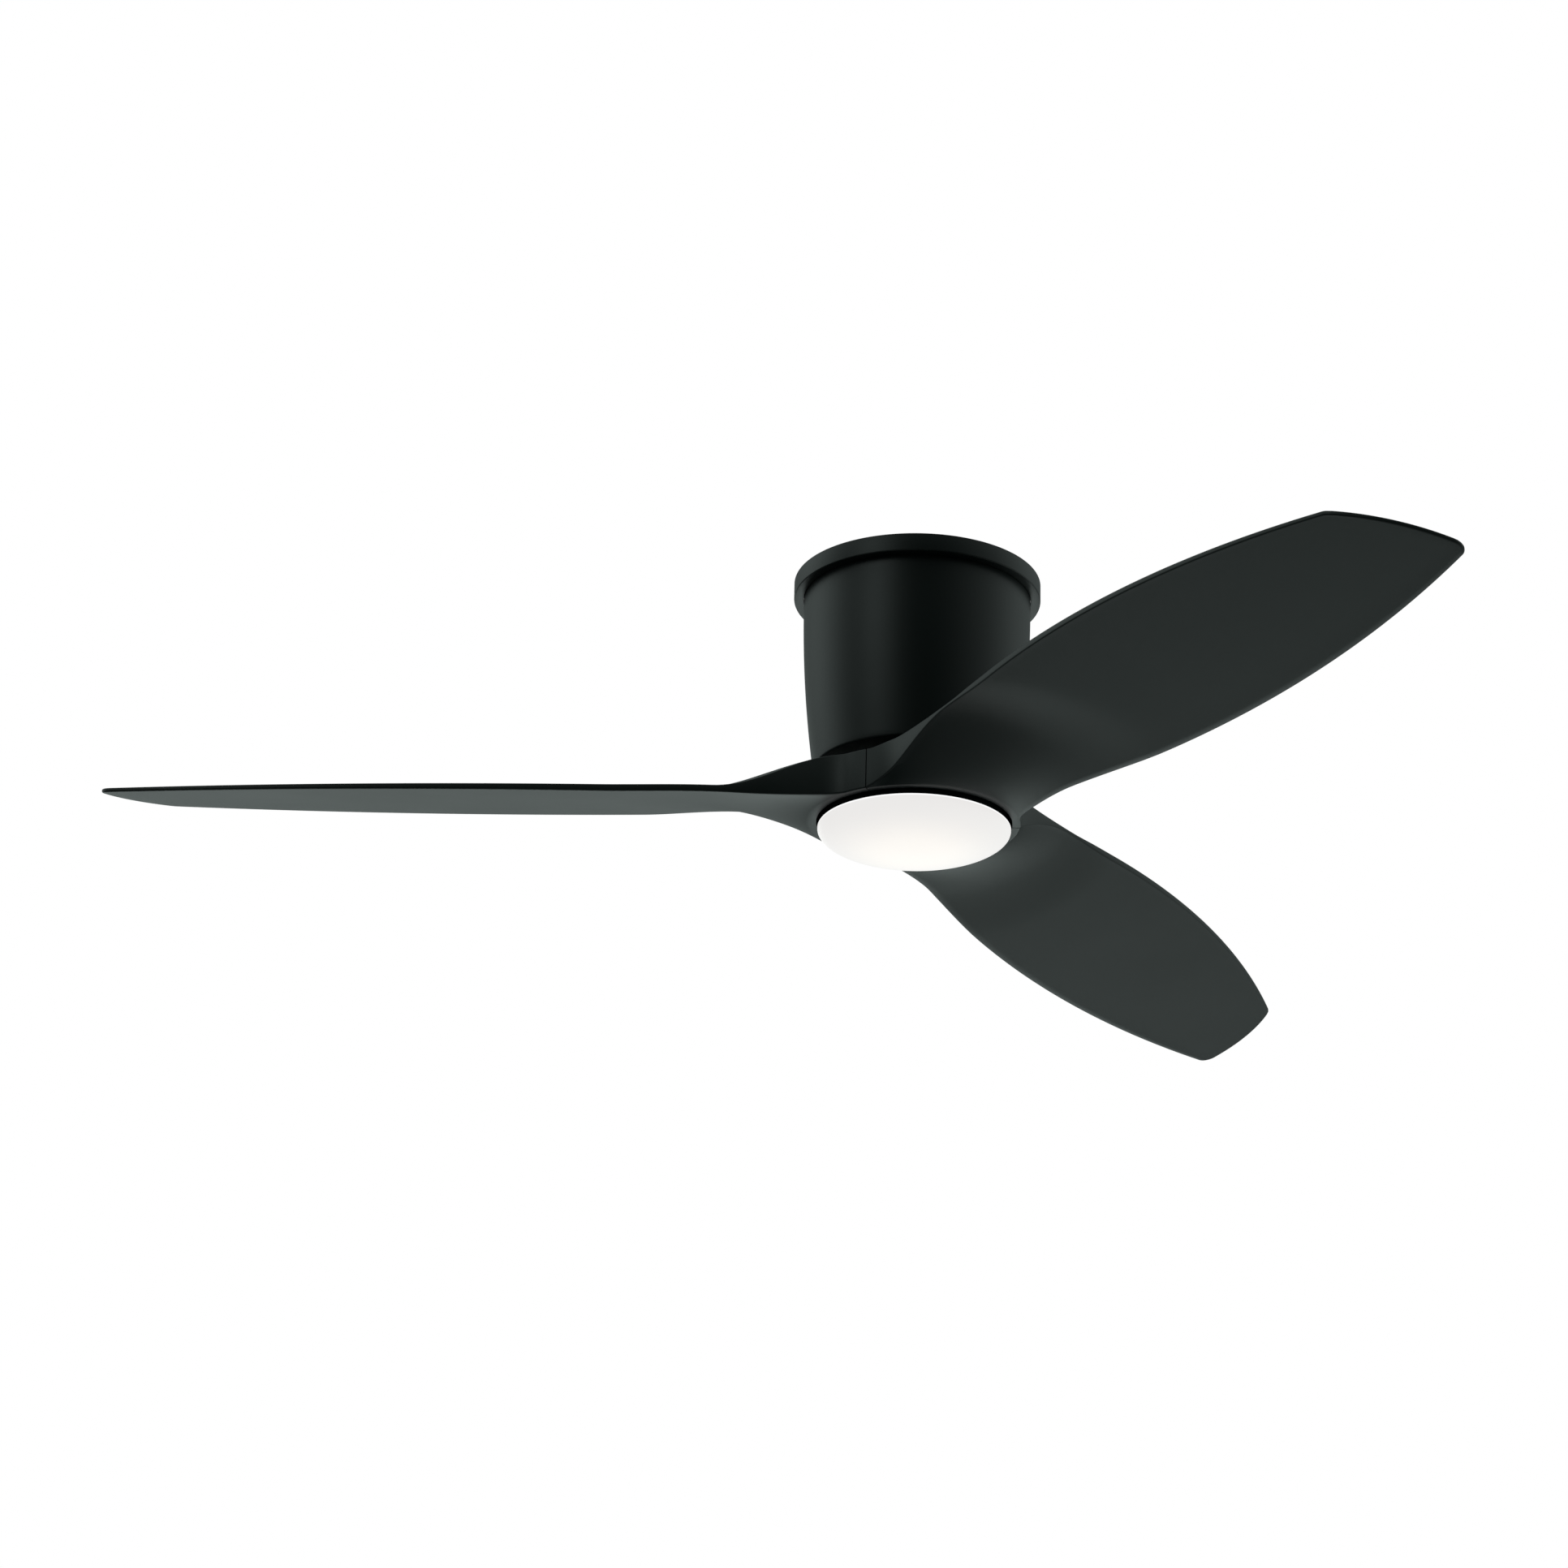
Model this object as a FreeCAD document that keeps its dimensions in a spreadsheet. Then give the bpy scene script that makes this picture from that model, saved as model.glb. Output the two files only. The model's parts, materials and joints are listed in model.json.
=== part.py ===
import FreeCAD, Part
import Sketcher
import math
import os

# Ceiling fan with a light, three blades, flush to the ceiling.
# Millimetres. The origin is the middle of the mounting plate on the ceiling plane and +Z is up,
# so everything hangs below z = 0. Heights are written as depths below the ceiling.

doc = FreeCAD.newDocument("ceiling_fan")
sheet = doc.addObject("Spreadsheet::Sheet", "dims")
ORIGIN = FreeCAD.Vector(0, 0, 0)
UP = FreeCAD.Vector(0, 0, 1)


class Size:
    """A length with its number and the sheet expression that gives it."""

    def __init__(self, value, text):
        self.value = value
        self.text = text

    def __add__(self, other):
        other = as_size(other)
        return Size(self.value + other.value, f"({self.text} + {other.text})")

    def __sub__(self, other):
        other = as_size(other)
        return Size(self.value - other.value, f"({self.text} - {other.text})")

    def __mul__(self, factor):
        return Size(self.value * factor, f"({self.text} * {factor:.9f})")

    def __neg__(self):
        return Size(-self.value, f"(0 - {self.text})")

    __rmul__ = __mul__
    __radd__ = __add__

    def __rsub__(self, other):
        return as_size(other) - self


def as_size(item):
    return item if isinstance(item, Size) else Size(float(item), f"{float(item):.9f}")


class Dimensions:
    """The driving dimensions: one sheet row each, read back as attributes."""

    def __init__(self, **values):
        self.row = 0
        for alias, number in values.items():
            self.add_row(alias, str(number), number)

    def add_row(self, alias, content, number):
        self.row += 1
        sheet.set(f"A{self.row}", alias)
        sheet.set(f"B{self.row}", content)
        sheet.setAlias(f"B{self.row}", alias)
        setattr(self, alias, Size(float(number), f"dims.{alias}"))

    def tie(self, **sizes):
        """Rows whose formula follows from the rows above them."""
        for alias, size in sizes.items():
            self.add_row(alias, "=" + size.text.replace("dims.", ""), size.value)


d = Dimensions(
    # ceiling side
    plate_thick=2.5, plate_play=0.3, wire_hole_radius=19, box_screw_spacing=88.9,
    box_slot_radius=2.6, box_slot_length=12, ear_width=16, ear_thick=1.6, ear_length=12,
    ear_play=0.6, post_radius=5, post_screw_radius=2.5, post_screw_head=4.5,
    ring_overhang=8.4, ring_height=15.2, ring_wall=2, ring_gap=0.5,
    # motor housing
    drum_top=3, drum_straight=20, drum_radius=94.8, drum_taper=10.8, drum_curve=1045,
    drum_depth=170.2, drum_wall=1.5, drum_opening=58,
    # motor support and shaft
    deck_top=92, deck_thick=3, deck_gap=4, shaft_radius=8.5, shaft_wall=3.5, shaft_top=83,
    collar_depth=105, shaft_nut_radius=15, shaft_nut_height=8,
    spigot_depth=203, spigot_nut_radius=12.5, spigot_nut_height=6.5,
    # bearings: 17 x 40 x 12
    bearing_radius=20, bearing_width=12, ring_thick=3.1, groove_depth=0.7, race_play=0.15,
    cage_height=8.6, pocket_play=0.1, circlip_thick=1.2,
    # stator
    stator_height=24, yoke_radius=20, tooth_width=7, tooth_tip=4.6,
    stator_radius=58.6, coil_start=26.5, coil_width=12, coil_overhang=4,
    # rotor
    air_gap=0.9, magnet_thick=3.5, iron_thick=3.2, magnet_height=30, bell_wall=3,
    bell_skin=3.8, boss_wall=4.5, bearing_lip=2, flange_reach=5.5,
    flange_thick=2.5, neck_inner=40, neck_outer=44, foot_inner=30, foot_outer=48, foot_thick=3,
    # flywheel and blades
    flywheel_thick=3, flywheel_bore=26, flywheel_screw_circle=39, hub_radius=88, hub_top=180.7,
    hub_bottom=214.8, hub_wall=5, hub_lip_reach=3, hub_lip=3, web_thick=6, web_inner=50, seam_gap=0.9,
    blade_screw_radius=2.5, screw_play=0.1,
    blade_axis_depth=198.4, blade_slope=0.252, blade_tip=660, tip_sweep=43,
    back_edge_radius=1370, back_edge_middle=425, back_edge_reach=100.9,
    front_edge_radius=1163, front_edge_middle=275, front_edge_reach=60.8,
    tip_radius=155, back_corner=11, front_corner=14, root_thickness=5.9, tip_thickness=3.3,
    front_rim_depth=178.2, root_step=0.2,
    # light kit
    pan_top=193, pan_wall=1.5, pan_gap=4, pan_bottom=218, lug_reach=2.3, lug_thick=1.5,
    lug_depth=215, carrier_top=208.8, carrier_thick=2,
    board_thick=1.6, led_height=0.8, led_side=3, standoff_radius=3,
    driver_length=60, driver_width=34, driver_height=12, driver_start=15,
    # lens
    lens_inset=0.7, lens_edge=219, lens_dome=20.2, lens_wall=2, lens_band=1.3,
    collar_gap=4.5, collar_wall=2, collar_top=212.8, lens_lug_play=0.5, lens_lug_thick=1.9,
    # control box
    box_near=24, box_length=90, box_width=40, box_height=28, box_wall=1.5,
)
d.tie(
    plate_radius=d.drum_radius - d.drum_wall - d.plate_play,
    ring_radius=d.drum_radius + d.ring_overhang,
    drum_base_radius=d.drum_radius - d.drum_taper,
    shaft_bore=d.shaft_radius - d.shaft_wall,
    collar_radius=d.shaft_radius + 2.5,
    circlip_radius=d.shaft_radius + 2.9,
    spigot_radius=d.shaft_radius - 1.5,
    inner_race_radius=d.shaft_radius + d.ring_thick,
    outer_race_radius=d.bearing_radius - d.ring_thick,
    bearing_lip_radius=d.bearing_radius - 2.5,
    boss_radius=d.bearing_radius + d.boss_wall,
    stator_top=d.collar_depth + 19,
    bell_top=d.collar_depth + 2,
    tooth_end=d.stator_radius - d.tooth_tip,
    magnet_inner=d.stator_radius + d.air_gap,
    hub_inner=d.hub_radius - d.hub_wall,
)
d.tie(
    deck_radius=d.drum_base_radius - d.deck_gap,
    ball_circle=(d.inner_race_radius + d.outer_race_radius) * 0.5,
    ball_radius=(d.outer_race_radius - d.inner_race_radius) * 0.5 + d.groove_depth,
    coil_end=d.tooth_end - 3,
    magnet_outer=d.magnet_inner + d.magnet_thick,
    magnet_top=d.stator_top - 3,
    bell_split=d.stator_top + d.stator_height * 0.5,
    bell_bottom=d.stator_top + d.stator_height + 12,
    flywheel_radius=d.hub_inner - 5,
    hub_opening=d.hub_inner - d.hub_lip_reach,
)
d.tie(
    post_circle=d.deck_radius - 10,
    cage_inner=d.ball_circle - 1.15,
    cage_outer=d.ball_circle + 1.15,
    iron_outer=d.magnet_outer + d.iron_thick,
    lower_bearing_depth=d.bell_bottom + d.bell_wall,
    blade_screw_circle=d.flywheel_radius - 12,
    pan_radius=d.hub_opening - d.pan_gap,
    lens_radius=d.hub_opening - d.lens_inset,
    front_tip=d.blade_tip - d.tip_sweep,
)
d.tie(
    bell_radius=d.iron_outer + d.bell_skin,
    flywheel_top=d.lower_bearing_depth + 15,
    collar_outer=d.pan_radius - d.collar_gap,
    lens_lug_radius=d.pan_radius - d.pan_wall - d.lens_lug_play,
)
d.tie(
    flange_radius=d.bell_radius + d.flange_reach,
    bell_screw_circle=d.bell_radius + 2.8,
    collar_inner=d.collar_outer - d.collar_wall,
)
d.tie(carrier_radius=d.collar_inner - 2.5)
d.tie(board_radius=d.carrier_radius - 2)
d.tie(standoff_circle=d.board_radius - 5)
REST_TURN = 178.0
SEAM_START = -54.5
BLADE_TURNS = [REST_TURN + 120 * index for index in range(3)]
FOOT_TURNS = [20.0 + 60.0 * index for index in range(6)]
BLADE_SCREW_TURNS = (-36.0, 5.5, 47.0)
SMALL_SHANK = 1.5
SMALL_HOLE = 1.6
SMALL_HEAD = 2.8
FOOT_SHANK = 2.5
FOOT_HOLE = 2.6
HEAD_THICK = 2.8
THREAD = 11

nodes = {}


def node(name, item):
    """Name a finished sub-part; its label is the name of its file."""
    item.Label = name
    nodes[name] = item
    return item


def bind(item, **sizes):
    for prop, size in sizes.items():
        item.setExpression(prop, as_size(size).text)


def place(item, x, y, depth):
    for letter, size in zip("xyz", (x, y, -as_size(depth))):
        item.setExpression(f"Placement.Base.{letter}", as_size(size).text)


def cylinder(radius, top, bottom, x=0, y=0, angle=360.0, turn=0.0):
    """An upright cylinder, or a slice of one, between two depths."""
    item = doc.addObject("Part::Cylinder", "round")
    item.Placement = FreeCAD.Placement(ORIGIN, FreeCAD.Rotation(UP, turn))
    item.Angle = angle
    bind(item, Radius=radius, Height=as_size(bottom) - top)
    place(item, x, y, bottom)
    return item


def box(length, width, top, bottom, x, y, turn=0.0):
    """A box with its low corner at x, y before it is turned about the fan's axis."""
    item = doc.addObject("Part::Box", "block")
    bind(item, Length=length, Width=width, Height=as_size(bottom) - top)
    if turn == 0.0:
        place(item, x, y, bottom)
        return item
    cos = math.cos(math.radians(turn))
    sin = math.sin(math.radians(turn))
    item.Placement = FreeCAD.Placement(ORIGIN, FreeCAD.Rotation(UP, turn))
    x = as_size(x)
    y = as_size(y)
    place(item, x * cos - y * sin, x * sin + y * cos, bottom)
    return item


def fuse(*pieces):
    item = doc.addObject("Part::MultiFuse", "joined")
    item.Shapes = list(pieces)
    return item


def group(*pieces):
    """Separate solids that share one node."""
    item = doc.addObject("Part::Compound", "set")
    item.Links = list(pieces)
    return item


def cut(base, *tools):
    item = doc.addObject("Part::Cut", "cut")
    item.Base = base
    item.Tool = tools[0] if len(tools) == 1 else group(*tools)
    return item


def tube(outer, inner, top, bottom, x=0, y=0, angle=360.0, turn=0.0):
    bore = cylinder(inner, as_size(top) - 1, as_size(bottom) + 1, x, y)
    return cut(cylinder(outer, top, bottom, x, y, angle, turn), bore)


def on_circle(radius, turn):
    """The x and y of a point on a circle about the fan's axis."""
    angle = math.radians(turn)
    return as_size(radius) * math.cos(angle), as_size(radius) * math.sin(angle)


def turned(profile, bulge=None):
    """A PartDesign body turned about the fan's axis. The profile gives (radius, depth) corners;
    bulge is (edge number, radius) for one edge that is an arc bowed outward."""
    body = doc.addObject("PartDesign::Body", "turned")
    sketch = body.newObject("Sketcher::SketchObject", "profile")
    plane = [item for item in body.Origin.OriginFeatures if item.Role == "XZ_Plane"][0]
    sketch.AttachmentSupport = [(plane, "")]
    sketch.MapMode = "FlatFace"
    sketch.AttachmentOffset = FreeCAD.Placement(ORIGIN, FreeCAD.Rotation(FreeCAD.Vector(1, 0, 0), 180))
    corners = [(as_size(r), as_size(depth)) for r, depth in profile]
    points = [FreeCAD.Vector(r.value, depth.value, 0) for r, depth in corners]
    count = len(points)
    reversed_edges = set()
    for index in range(count):
        start = points[index]
        end = points[(index + 1) % count]
        if bulge and index == bulge[0]:
            half = (end - start) * 0.5
            radius = bulge[1].value
            across = FreeCAD.Vector(half.y, -half.x, 0).normalize()
            rise = radius - math.sqrt(radius ** 2 - half.Length ** 2)
            sketch.addGeometry(Part.Arc(start, start + half + across * rise, end), False)
            if (sketch.Geometry[index].StartPoint - start).Length > 0.001:
                reversed_edges.add(index)
        else:
            sketch.addGeometry(Part.LineSegment(start, end), False)

    def vertex(index, at_end):
        """Sketcher's number for one end of an edge; an arc may run the other way round."""
        index = index % count
        return index, 2 if at_end != (index in reversed_edges) else 1

    for index in range(count):
        this_end = vertex(index, True)
        next_start = vertex(index + 1, False)
        sketch.addConstraint(Sketcher.Constraint("Coincident", *this_end, *next_start))
    for index, (r, depth) in enumerate(corners):
        for kind, size, axis in (("DistanceX", r, -2), ("DistanceY", depth, -1)):
            corner = vertex(index, False)
            if size.value == 0:
                sketch.addConstraint(Sketcher.Constraint("PointOnObject", *corner, axis))
                continue
            number = sketch.addConstraint(Sketcher.Constraint(kind, -1, 1, *corner, size.value))
            sketch.setExpression(f"Constraints[{number}]", size.text)
    if bulge:
        number = sketch.addConstraint(Sketcher.Constraint("Radius", bulge[0], bulge[1].value))
        sketch.setExpression(f"Constraints[{number}]", bulge[1].text)
    revolution = body.newObject("PartDesign::Revolution", "revolution")
    revolution.Profile = sketch
    revolution.ReferenceAxis = (sketch, ["V_Axis"])
    revolution.Angle = 360
    sketch.Visibility = False
    return body


def screw(x, y, head_radius, head_top, head_bottom, shank_radius, shank_top, shank_bottom):
    head = cylinder(head_radius, head_top, head_bottom, x, y)
    shank = cylinder(shank_radius, shank_top, shank_bottom, x, y)
    return fuse(head, shank)


def hex_nut(across_corners, bore, top, bottom):
    prism = doc.addObject("Part::Prism", "hex")
    prism.Polygon = 6
    bind(prism, Circumradius=across_corners, Height=as_size(bottom) - top)
    place(prism, 0, 0, bottom)
    return cut(prism, cylinder(bore, as_size(top) - 1, as_size(bottom) + 1))


# ---------------------------------------------------------------- ceiling side

POST_TURNS = (60.0, 180.0, 300.0)
EAR_TURNS = (0.0, 90.0, 180.0, 270.0)
CLIP_TURNS = (30.0, 150.0, 270.0)
EAR_FACE = d.drum_radius - d.drum_wall - d.ear_play
SIDE_SCREW_DEPTH = 8.5
SIDE_SCREW_RADIUS = 2.0
SIDE_SCREW_HEAD = 3.4
SIDE_SCREW_HEAD_THICK = 1.2


def make_mounting_plate():
    """Disc with the wire hole, two slots for the outlet box screws and four ears bent down."""
    body = doc.addObject("PartDesign::Body", "plate")
    sketch = body.newObject("Sketcher::SketchObject", "plate_outline")
    plane = [item for item in body.Origin.OriginFeatures if item.Role == "XY_Plane"][0]
    sketch.AttachmentSupport = [(plane, "")]
    sketch.MapMode = "FlatFace"
    for radius in (d.plate_radius, d.wire_hole_radius):
        edge = sketch.addGeometry(Part.Circle(ORIGIN, UP, radius.value), False)
        sketch.addConstraint(Sketcher.Constraint("Coincident", edge, 3, -1, 1))
        number = sketch.addConstraint(Sketcher.Constraint("Radius", edge, radius.value))
        sketch.setExpression(f"Constraints[{number}]", radius.text)
    pad = body.newObject("PartDesign::Pad", "plate_pad")
    pad.Profile = sketch
    pad.Reversed = True
    bind(pad, Length=d.plate_thick)
    through = (-1, d.plate_thick + 1)
    cutters = []
    for side in (-1, 1):
        middle = d.box_screw_spacing * (side / 2)
        half = d.box_slot_length * 0.5 - d.box_slot_radius
        for end in (-1, 1):
            cutters.append(cylinder(d.box_slot_radius, *through, middle + half * end, 0))
        width = d.box_slot_radius * 2
        cutters.append(box(half * 2, width, *through, middle - half, -d.box_slot_radius))
    for turn in POST_TURNS:
        x, y = on_circle(d.post_circle, turn)
        cutters.append(cylinder(d.post_screw_radius + d.screw_play, *through, x, y))
    disc = cut(body, fuse(*cutters))
    ears = [box(d.ear_thick, d.ear_width, d.plate_thick * 0.5, d.plate_thick + d.ear_length,
                EAR_FACE - d.ear_thick, -d.ear_width * 0.5, turn) for turn in EAR_TURNS]
    holes = [radial_cylinder(SIDE_SCREW_RADIUS, EAR_FACE - d.ear_thick - 1, d.drum_radius,
                             SIDE_SCREW_DEPTH, turn) for turn in EAR_TURNS]
    node("mounting_plate", cut(fuse(disc, *ears), *holes))


def radial_cylinder(radius, start, end, depth, turn):
    """A cylinder that lies along a radius of the fan."""
    item = doc.addObject("Part::Cylinder", "radial")
    spin = FreeCAD.Rotation(UP, turn) * FreeCAD.Rotation(FreeCAD.Vector(0, 1, 0), 90)
    item.Placement = FreeCAD.Placement(ORIGIN, spin)
    bind(item, Radius=radius, Height=as_size(end) - start)
    x, y = on_circle(start, turn)
    place(item, x, y, depth)
    return item


def make_housing():
    """Drum: straight at the top, then one long arc that draws in towards the blades."""
    inner_top = d.drum_radius - d.drum_wall
    inner_base = d.drum_base_radius - d.drum_wall
    outer = turned([
        (0, d.drum_top), (d.drum_radius, d.drum_top), (d.drum_radius, d.drum_straight),
        (d.drum_base_radius, d.drum_depth), (0, d.drum_depth)], (2, d.drum_curve))
    inner = turned([
        (0, d.drum_top - 1), (inner_top, d.drum_top - 1), (inner_top, d.drum_straight),
        (inner_base, d.drum_depth - d.drum_wall), (0, d.drum_depth - d.drum_wall)],
        (2, d.drum_curve))
    floor_hole = cylinder(d.drum_opening, d.drum_depth - d.drum_wall - 1, d.drum_depth + 1)
    holes = [radial_cylinder(SIDE_SCREW_RADIUS + 0.1, d.drum_radius - 4, d.drum_radius + 2,
                             SIDE_SCREW_DEPTH, turn) for turn in EAR_TURNS]
    return node("motor_housing", cut(outer, inner, floor_hole, *holes))


def make_ceiling_side():
    make_mounting_plate()
    make_housing()
    screws = []
    for turn in EAR_TURNS:
        shank = radial_cylinder(SIDE_SCREW_RADIUS, EAR_FACE - d.ear_thick, d.drum_radius,
                                SIDE_SCREW_DEPTH, turn)
        head = radial_cylinder(SIDE_SCREW_HEAD, d.drum_radius, d.drum_radius + SIDE_SCREW_HEAD_THICK,
                               SIDE_SCREW_DEPTH, turn)
        screws.append(fuse(shank, head))
    node("housing_screws", group(*screws))
    lip_radius = d.drum_radius + d.ring_gap
    wall_radius = d.ring_radius - d.ring_wall
    node("canopy_ring", turned([
        (wall_radius, 0), (d.ring_radius, 0), (d.ring_radius, d.ring_height),
        (lip_radius, d.ring_height), (lip_radius, d.ring_height - d.ring_wall),
        (wall_radius, d.ring_height - d.ring_wall)]))
    clips = [tube(wall_radius, d.plate_radius, 0, d.plate_thick * 0.5, 0, 0, 8.0, turn - 4)
             for turn in CLIP_TURNS]
    node("ring_clips", group(*clips))
    posts = []
    screws = []
    for turn in POST_TURNS:
        x, y = on_circle(d.post_circle, turn)
        bores = [cylinder(d.post_screw_radius, top, bottom, x, y) for top, bottom in (
            (d.plate_thick - 1, d.plate_thick + THREAD + 1), (d.deck_top - THREAD - 1, d.deck_top + 1))]
        posts.append(cut(cylinder(d.post_radius, d.plate_thick, d.deck_top, x, y), *bores))
        screws.append(cylinder(d.post_screw_radius, 0.2, d.plate_thick + THREAD, x, y))
        head_top = d.deck_top + d.deck_thick
        screws.append(screw(x, y, d.post_screw_head, head_top, head_top + 3,
                            d.post_screw_radius, d.deck_top - THREAD, head_top))
    node("support_posts", group(*posts))
    node("post_screws", group(*screws))


# ---------------------------------------------------------------- motor support and shaft

LEAD_RADIUS = 1.5
LEAD_X = -2.7
LEAD_DEPTH = 70.0
LEAD_EXIT_DEPTH = 120.5
LEAD_SLOT_TOP = 113.0
CABLE_RADIUS = 1.7
CABLE_X = 2.8
CABLE_DEPTH = 78.0


def make_shaft():
    collar_top = d.deck_top + d.deck_thick
    deck = cylinder(d.deck_radius, d.deck_top, collar_top)
    holes = [cylinder(d.shaft_radius + d.screw_play, d.deck_top - 1, collar_top + 1)]
    for turn in POST_TURNS:
        x, y = on_circle(d.post_circle, turn)
        holes.append(cylinder(d.post_screw_radius + d.screw_play, d.deck_top - 1, collar_top + 1, x, y))
    node("motor_mount_plate", cut(deck, *holes))
    shaft = turned([
        (d.shaft_bore, d.shaft_top), (d.shaft_radius, d.shaft_top), (d.shaft_radius, collar_top),
        (d.collar_radius, collar_top), (d.collar_radius, d.collar_depth),
        (d.shaft_radius, d.collar_depth), (d.shaft_radius, d.pan_top),
        (d.spigot_radius, d.pan_top), (d.spigot_radius, d.spigot_depth),
        (d.shaft_bore, d.spigot_depth)])
    slot_half = LEAD_RADIUS + 0.4
    slot = box(d.shaft_radius + 1, slot_half * 2, LEAD_SLOT_TOP, d.stator_top - 0.8,
               -d.shaft_radius - 1, -slot_half)
    node("motor_shaft", cut(shaft, slot))
    node("shaft_nut", hex_nut(d.shaft_nut_radius, d.shaft_radius,
                              d.deck_top - d.shaft_nut_height, d.deck_top))
    spigot_nut_top = d.pan_top + d.pan_wall
    node("light_kit_nut", hex_nut(d.spigot_nut_radius, d.spigot_radius, spigot_nut_top,
                                  spigot_nut_top + d.spigot_nut_height))
    clip_top = d.lower_bearing_depth + d.bearing_width
    clip = tube(d.circlip_radius, d.shaft_radius, clip_top, clip_top + d.circlip_thick)
    opening = box(d.circlip_radius, 8, clip_top - 1, clip_top + d.circlip_thick + 1, 0, -4)
    node("shaft_circlip", cut(clip, opening))


# ---------------------------------------------------------------- bearings

BALL_COUNT = 8


def groove(top, radius):
    """The ring-shaped space that the balls roll in."""
    item = doc.addObject("Part::Torus", "groove")
    bind(item, Radius1=d.ball_circle, Radius2=radius)
    place(item, 0, 0, top + d.bearing_width * 0.5)
    return item


def make_bearing(name, top):
    bottom = top + d.bearing_width
    race_radius = d.ball_radius + d.race_play
    inner = tube(d.inner_race_radius, d.shaft_radius, top, bottom)
    node(f"{name}_bearing_inner_ring", cut(inner, groove(top, race_radius)))
    outer = tube(d.bearing_radius, d.outer_race_radius, top, bottom)
    node(f"{name}_bearing_outer_ring", cut(outer, groove(top, race_radius)))
    balls = []
    pockets = []
    for index in range(BALL_COUNT):
        turn = 360 / BALL_COUNT * (index + 0.5)
        middle = top + d.bearing_width * 0.5
        ball = doc.addObject("Part::Sphere", "ball")
        bind(ball, Radius=d.ball_radius)
        place(ball, *on_circle(d.ball_circle, turn), middle)
        balls.append(ball)
        pockets.append(radial_cylinder(d.ball_radius + d.pocket_play, d.cage_inner - 2,
                                       d.cage_outer + 2, middle, turn))
    node(f"{name}_bearing_balls", group(*balls))
    spare = (d.bearing_width - d.cage_height) * 0.5
    cage = tube(d.cage_outer, d.cage_inner, top + spare, bottom - spare)
    node(f"{name}_bearing_cage", cut(cage, *pockets))


# ---------------------------------------------------------------- stator

TOOTH_COUNT = 12
TOOTH_TIP_ANGLE = 22.0


def make_stator():
    bottom = d.stator_top + d.stator_height
    teeth = []
    coils = []
    for index in range(TOOTH_COUNT):
        turn = 360 / TOOTH_COUNT * (index + 0.5)
        teeth.append(box(d.tooth_end - d.yoke_radius + 2, d.tooth_width, d.stator_top, bottom,
                         d.yoke_radius - 1.5, -d.tooth_width * 0.5, turn))
        teeth.append(tube(d.stator_radius, d.tooth_end, d.stator_top, bottom, 0, 0,
                          TOOTH_TIP_ANGLE, turn - TOOTH_TIP_ANGLE / 2))
        outer = box(d.coil_end - d.coil_start, d.coil_width, d.stator_top - d.coil_overhang,
                    bottom + d.coil_overhang, d.coil_start, -d.coil_width * 0.5, turn)
        hole = box(d.coil_end - d.coil_start + 2, d.tooth_width, d.stator_top - 0.8, bottom + 0.8,
                   d.coil_start - 1, -d.tooth_width * 0.5, turn)
        coils.append(cut(outer, hole))
    yoke = tube(d.yoke_radius, d.shaft_radius, d.stator_top, bottom)
    node("stator_core", fuse(yoke, *teeth))
    node("stator_windings", group(*coils))
    rim = d.yoke_radius + 3
    node("stator_end_rings", group(
        tube(rim, d.shaft_radius + 2, d.stator_top - 0.8, d.stator_top),
        tube(rim, d.shaft_radius + 2, bottom, bottom + 0.8)))


# ---------------------------------------------------------------- rotor

MAGNET_COUNT = 14
MAGNET_ANGLE = 23.0
BELL_SCREW_COUNT = 6


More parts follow.
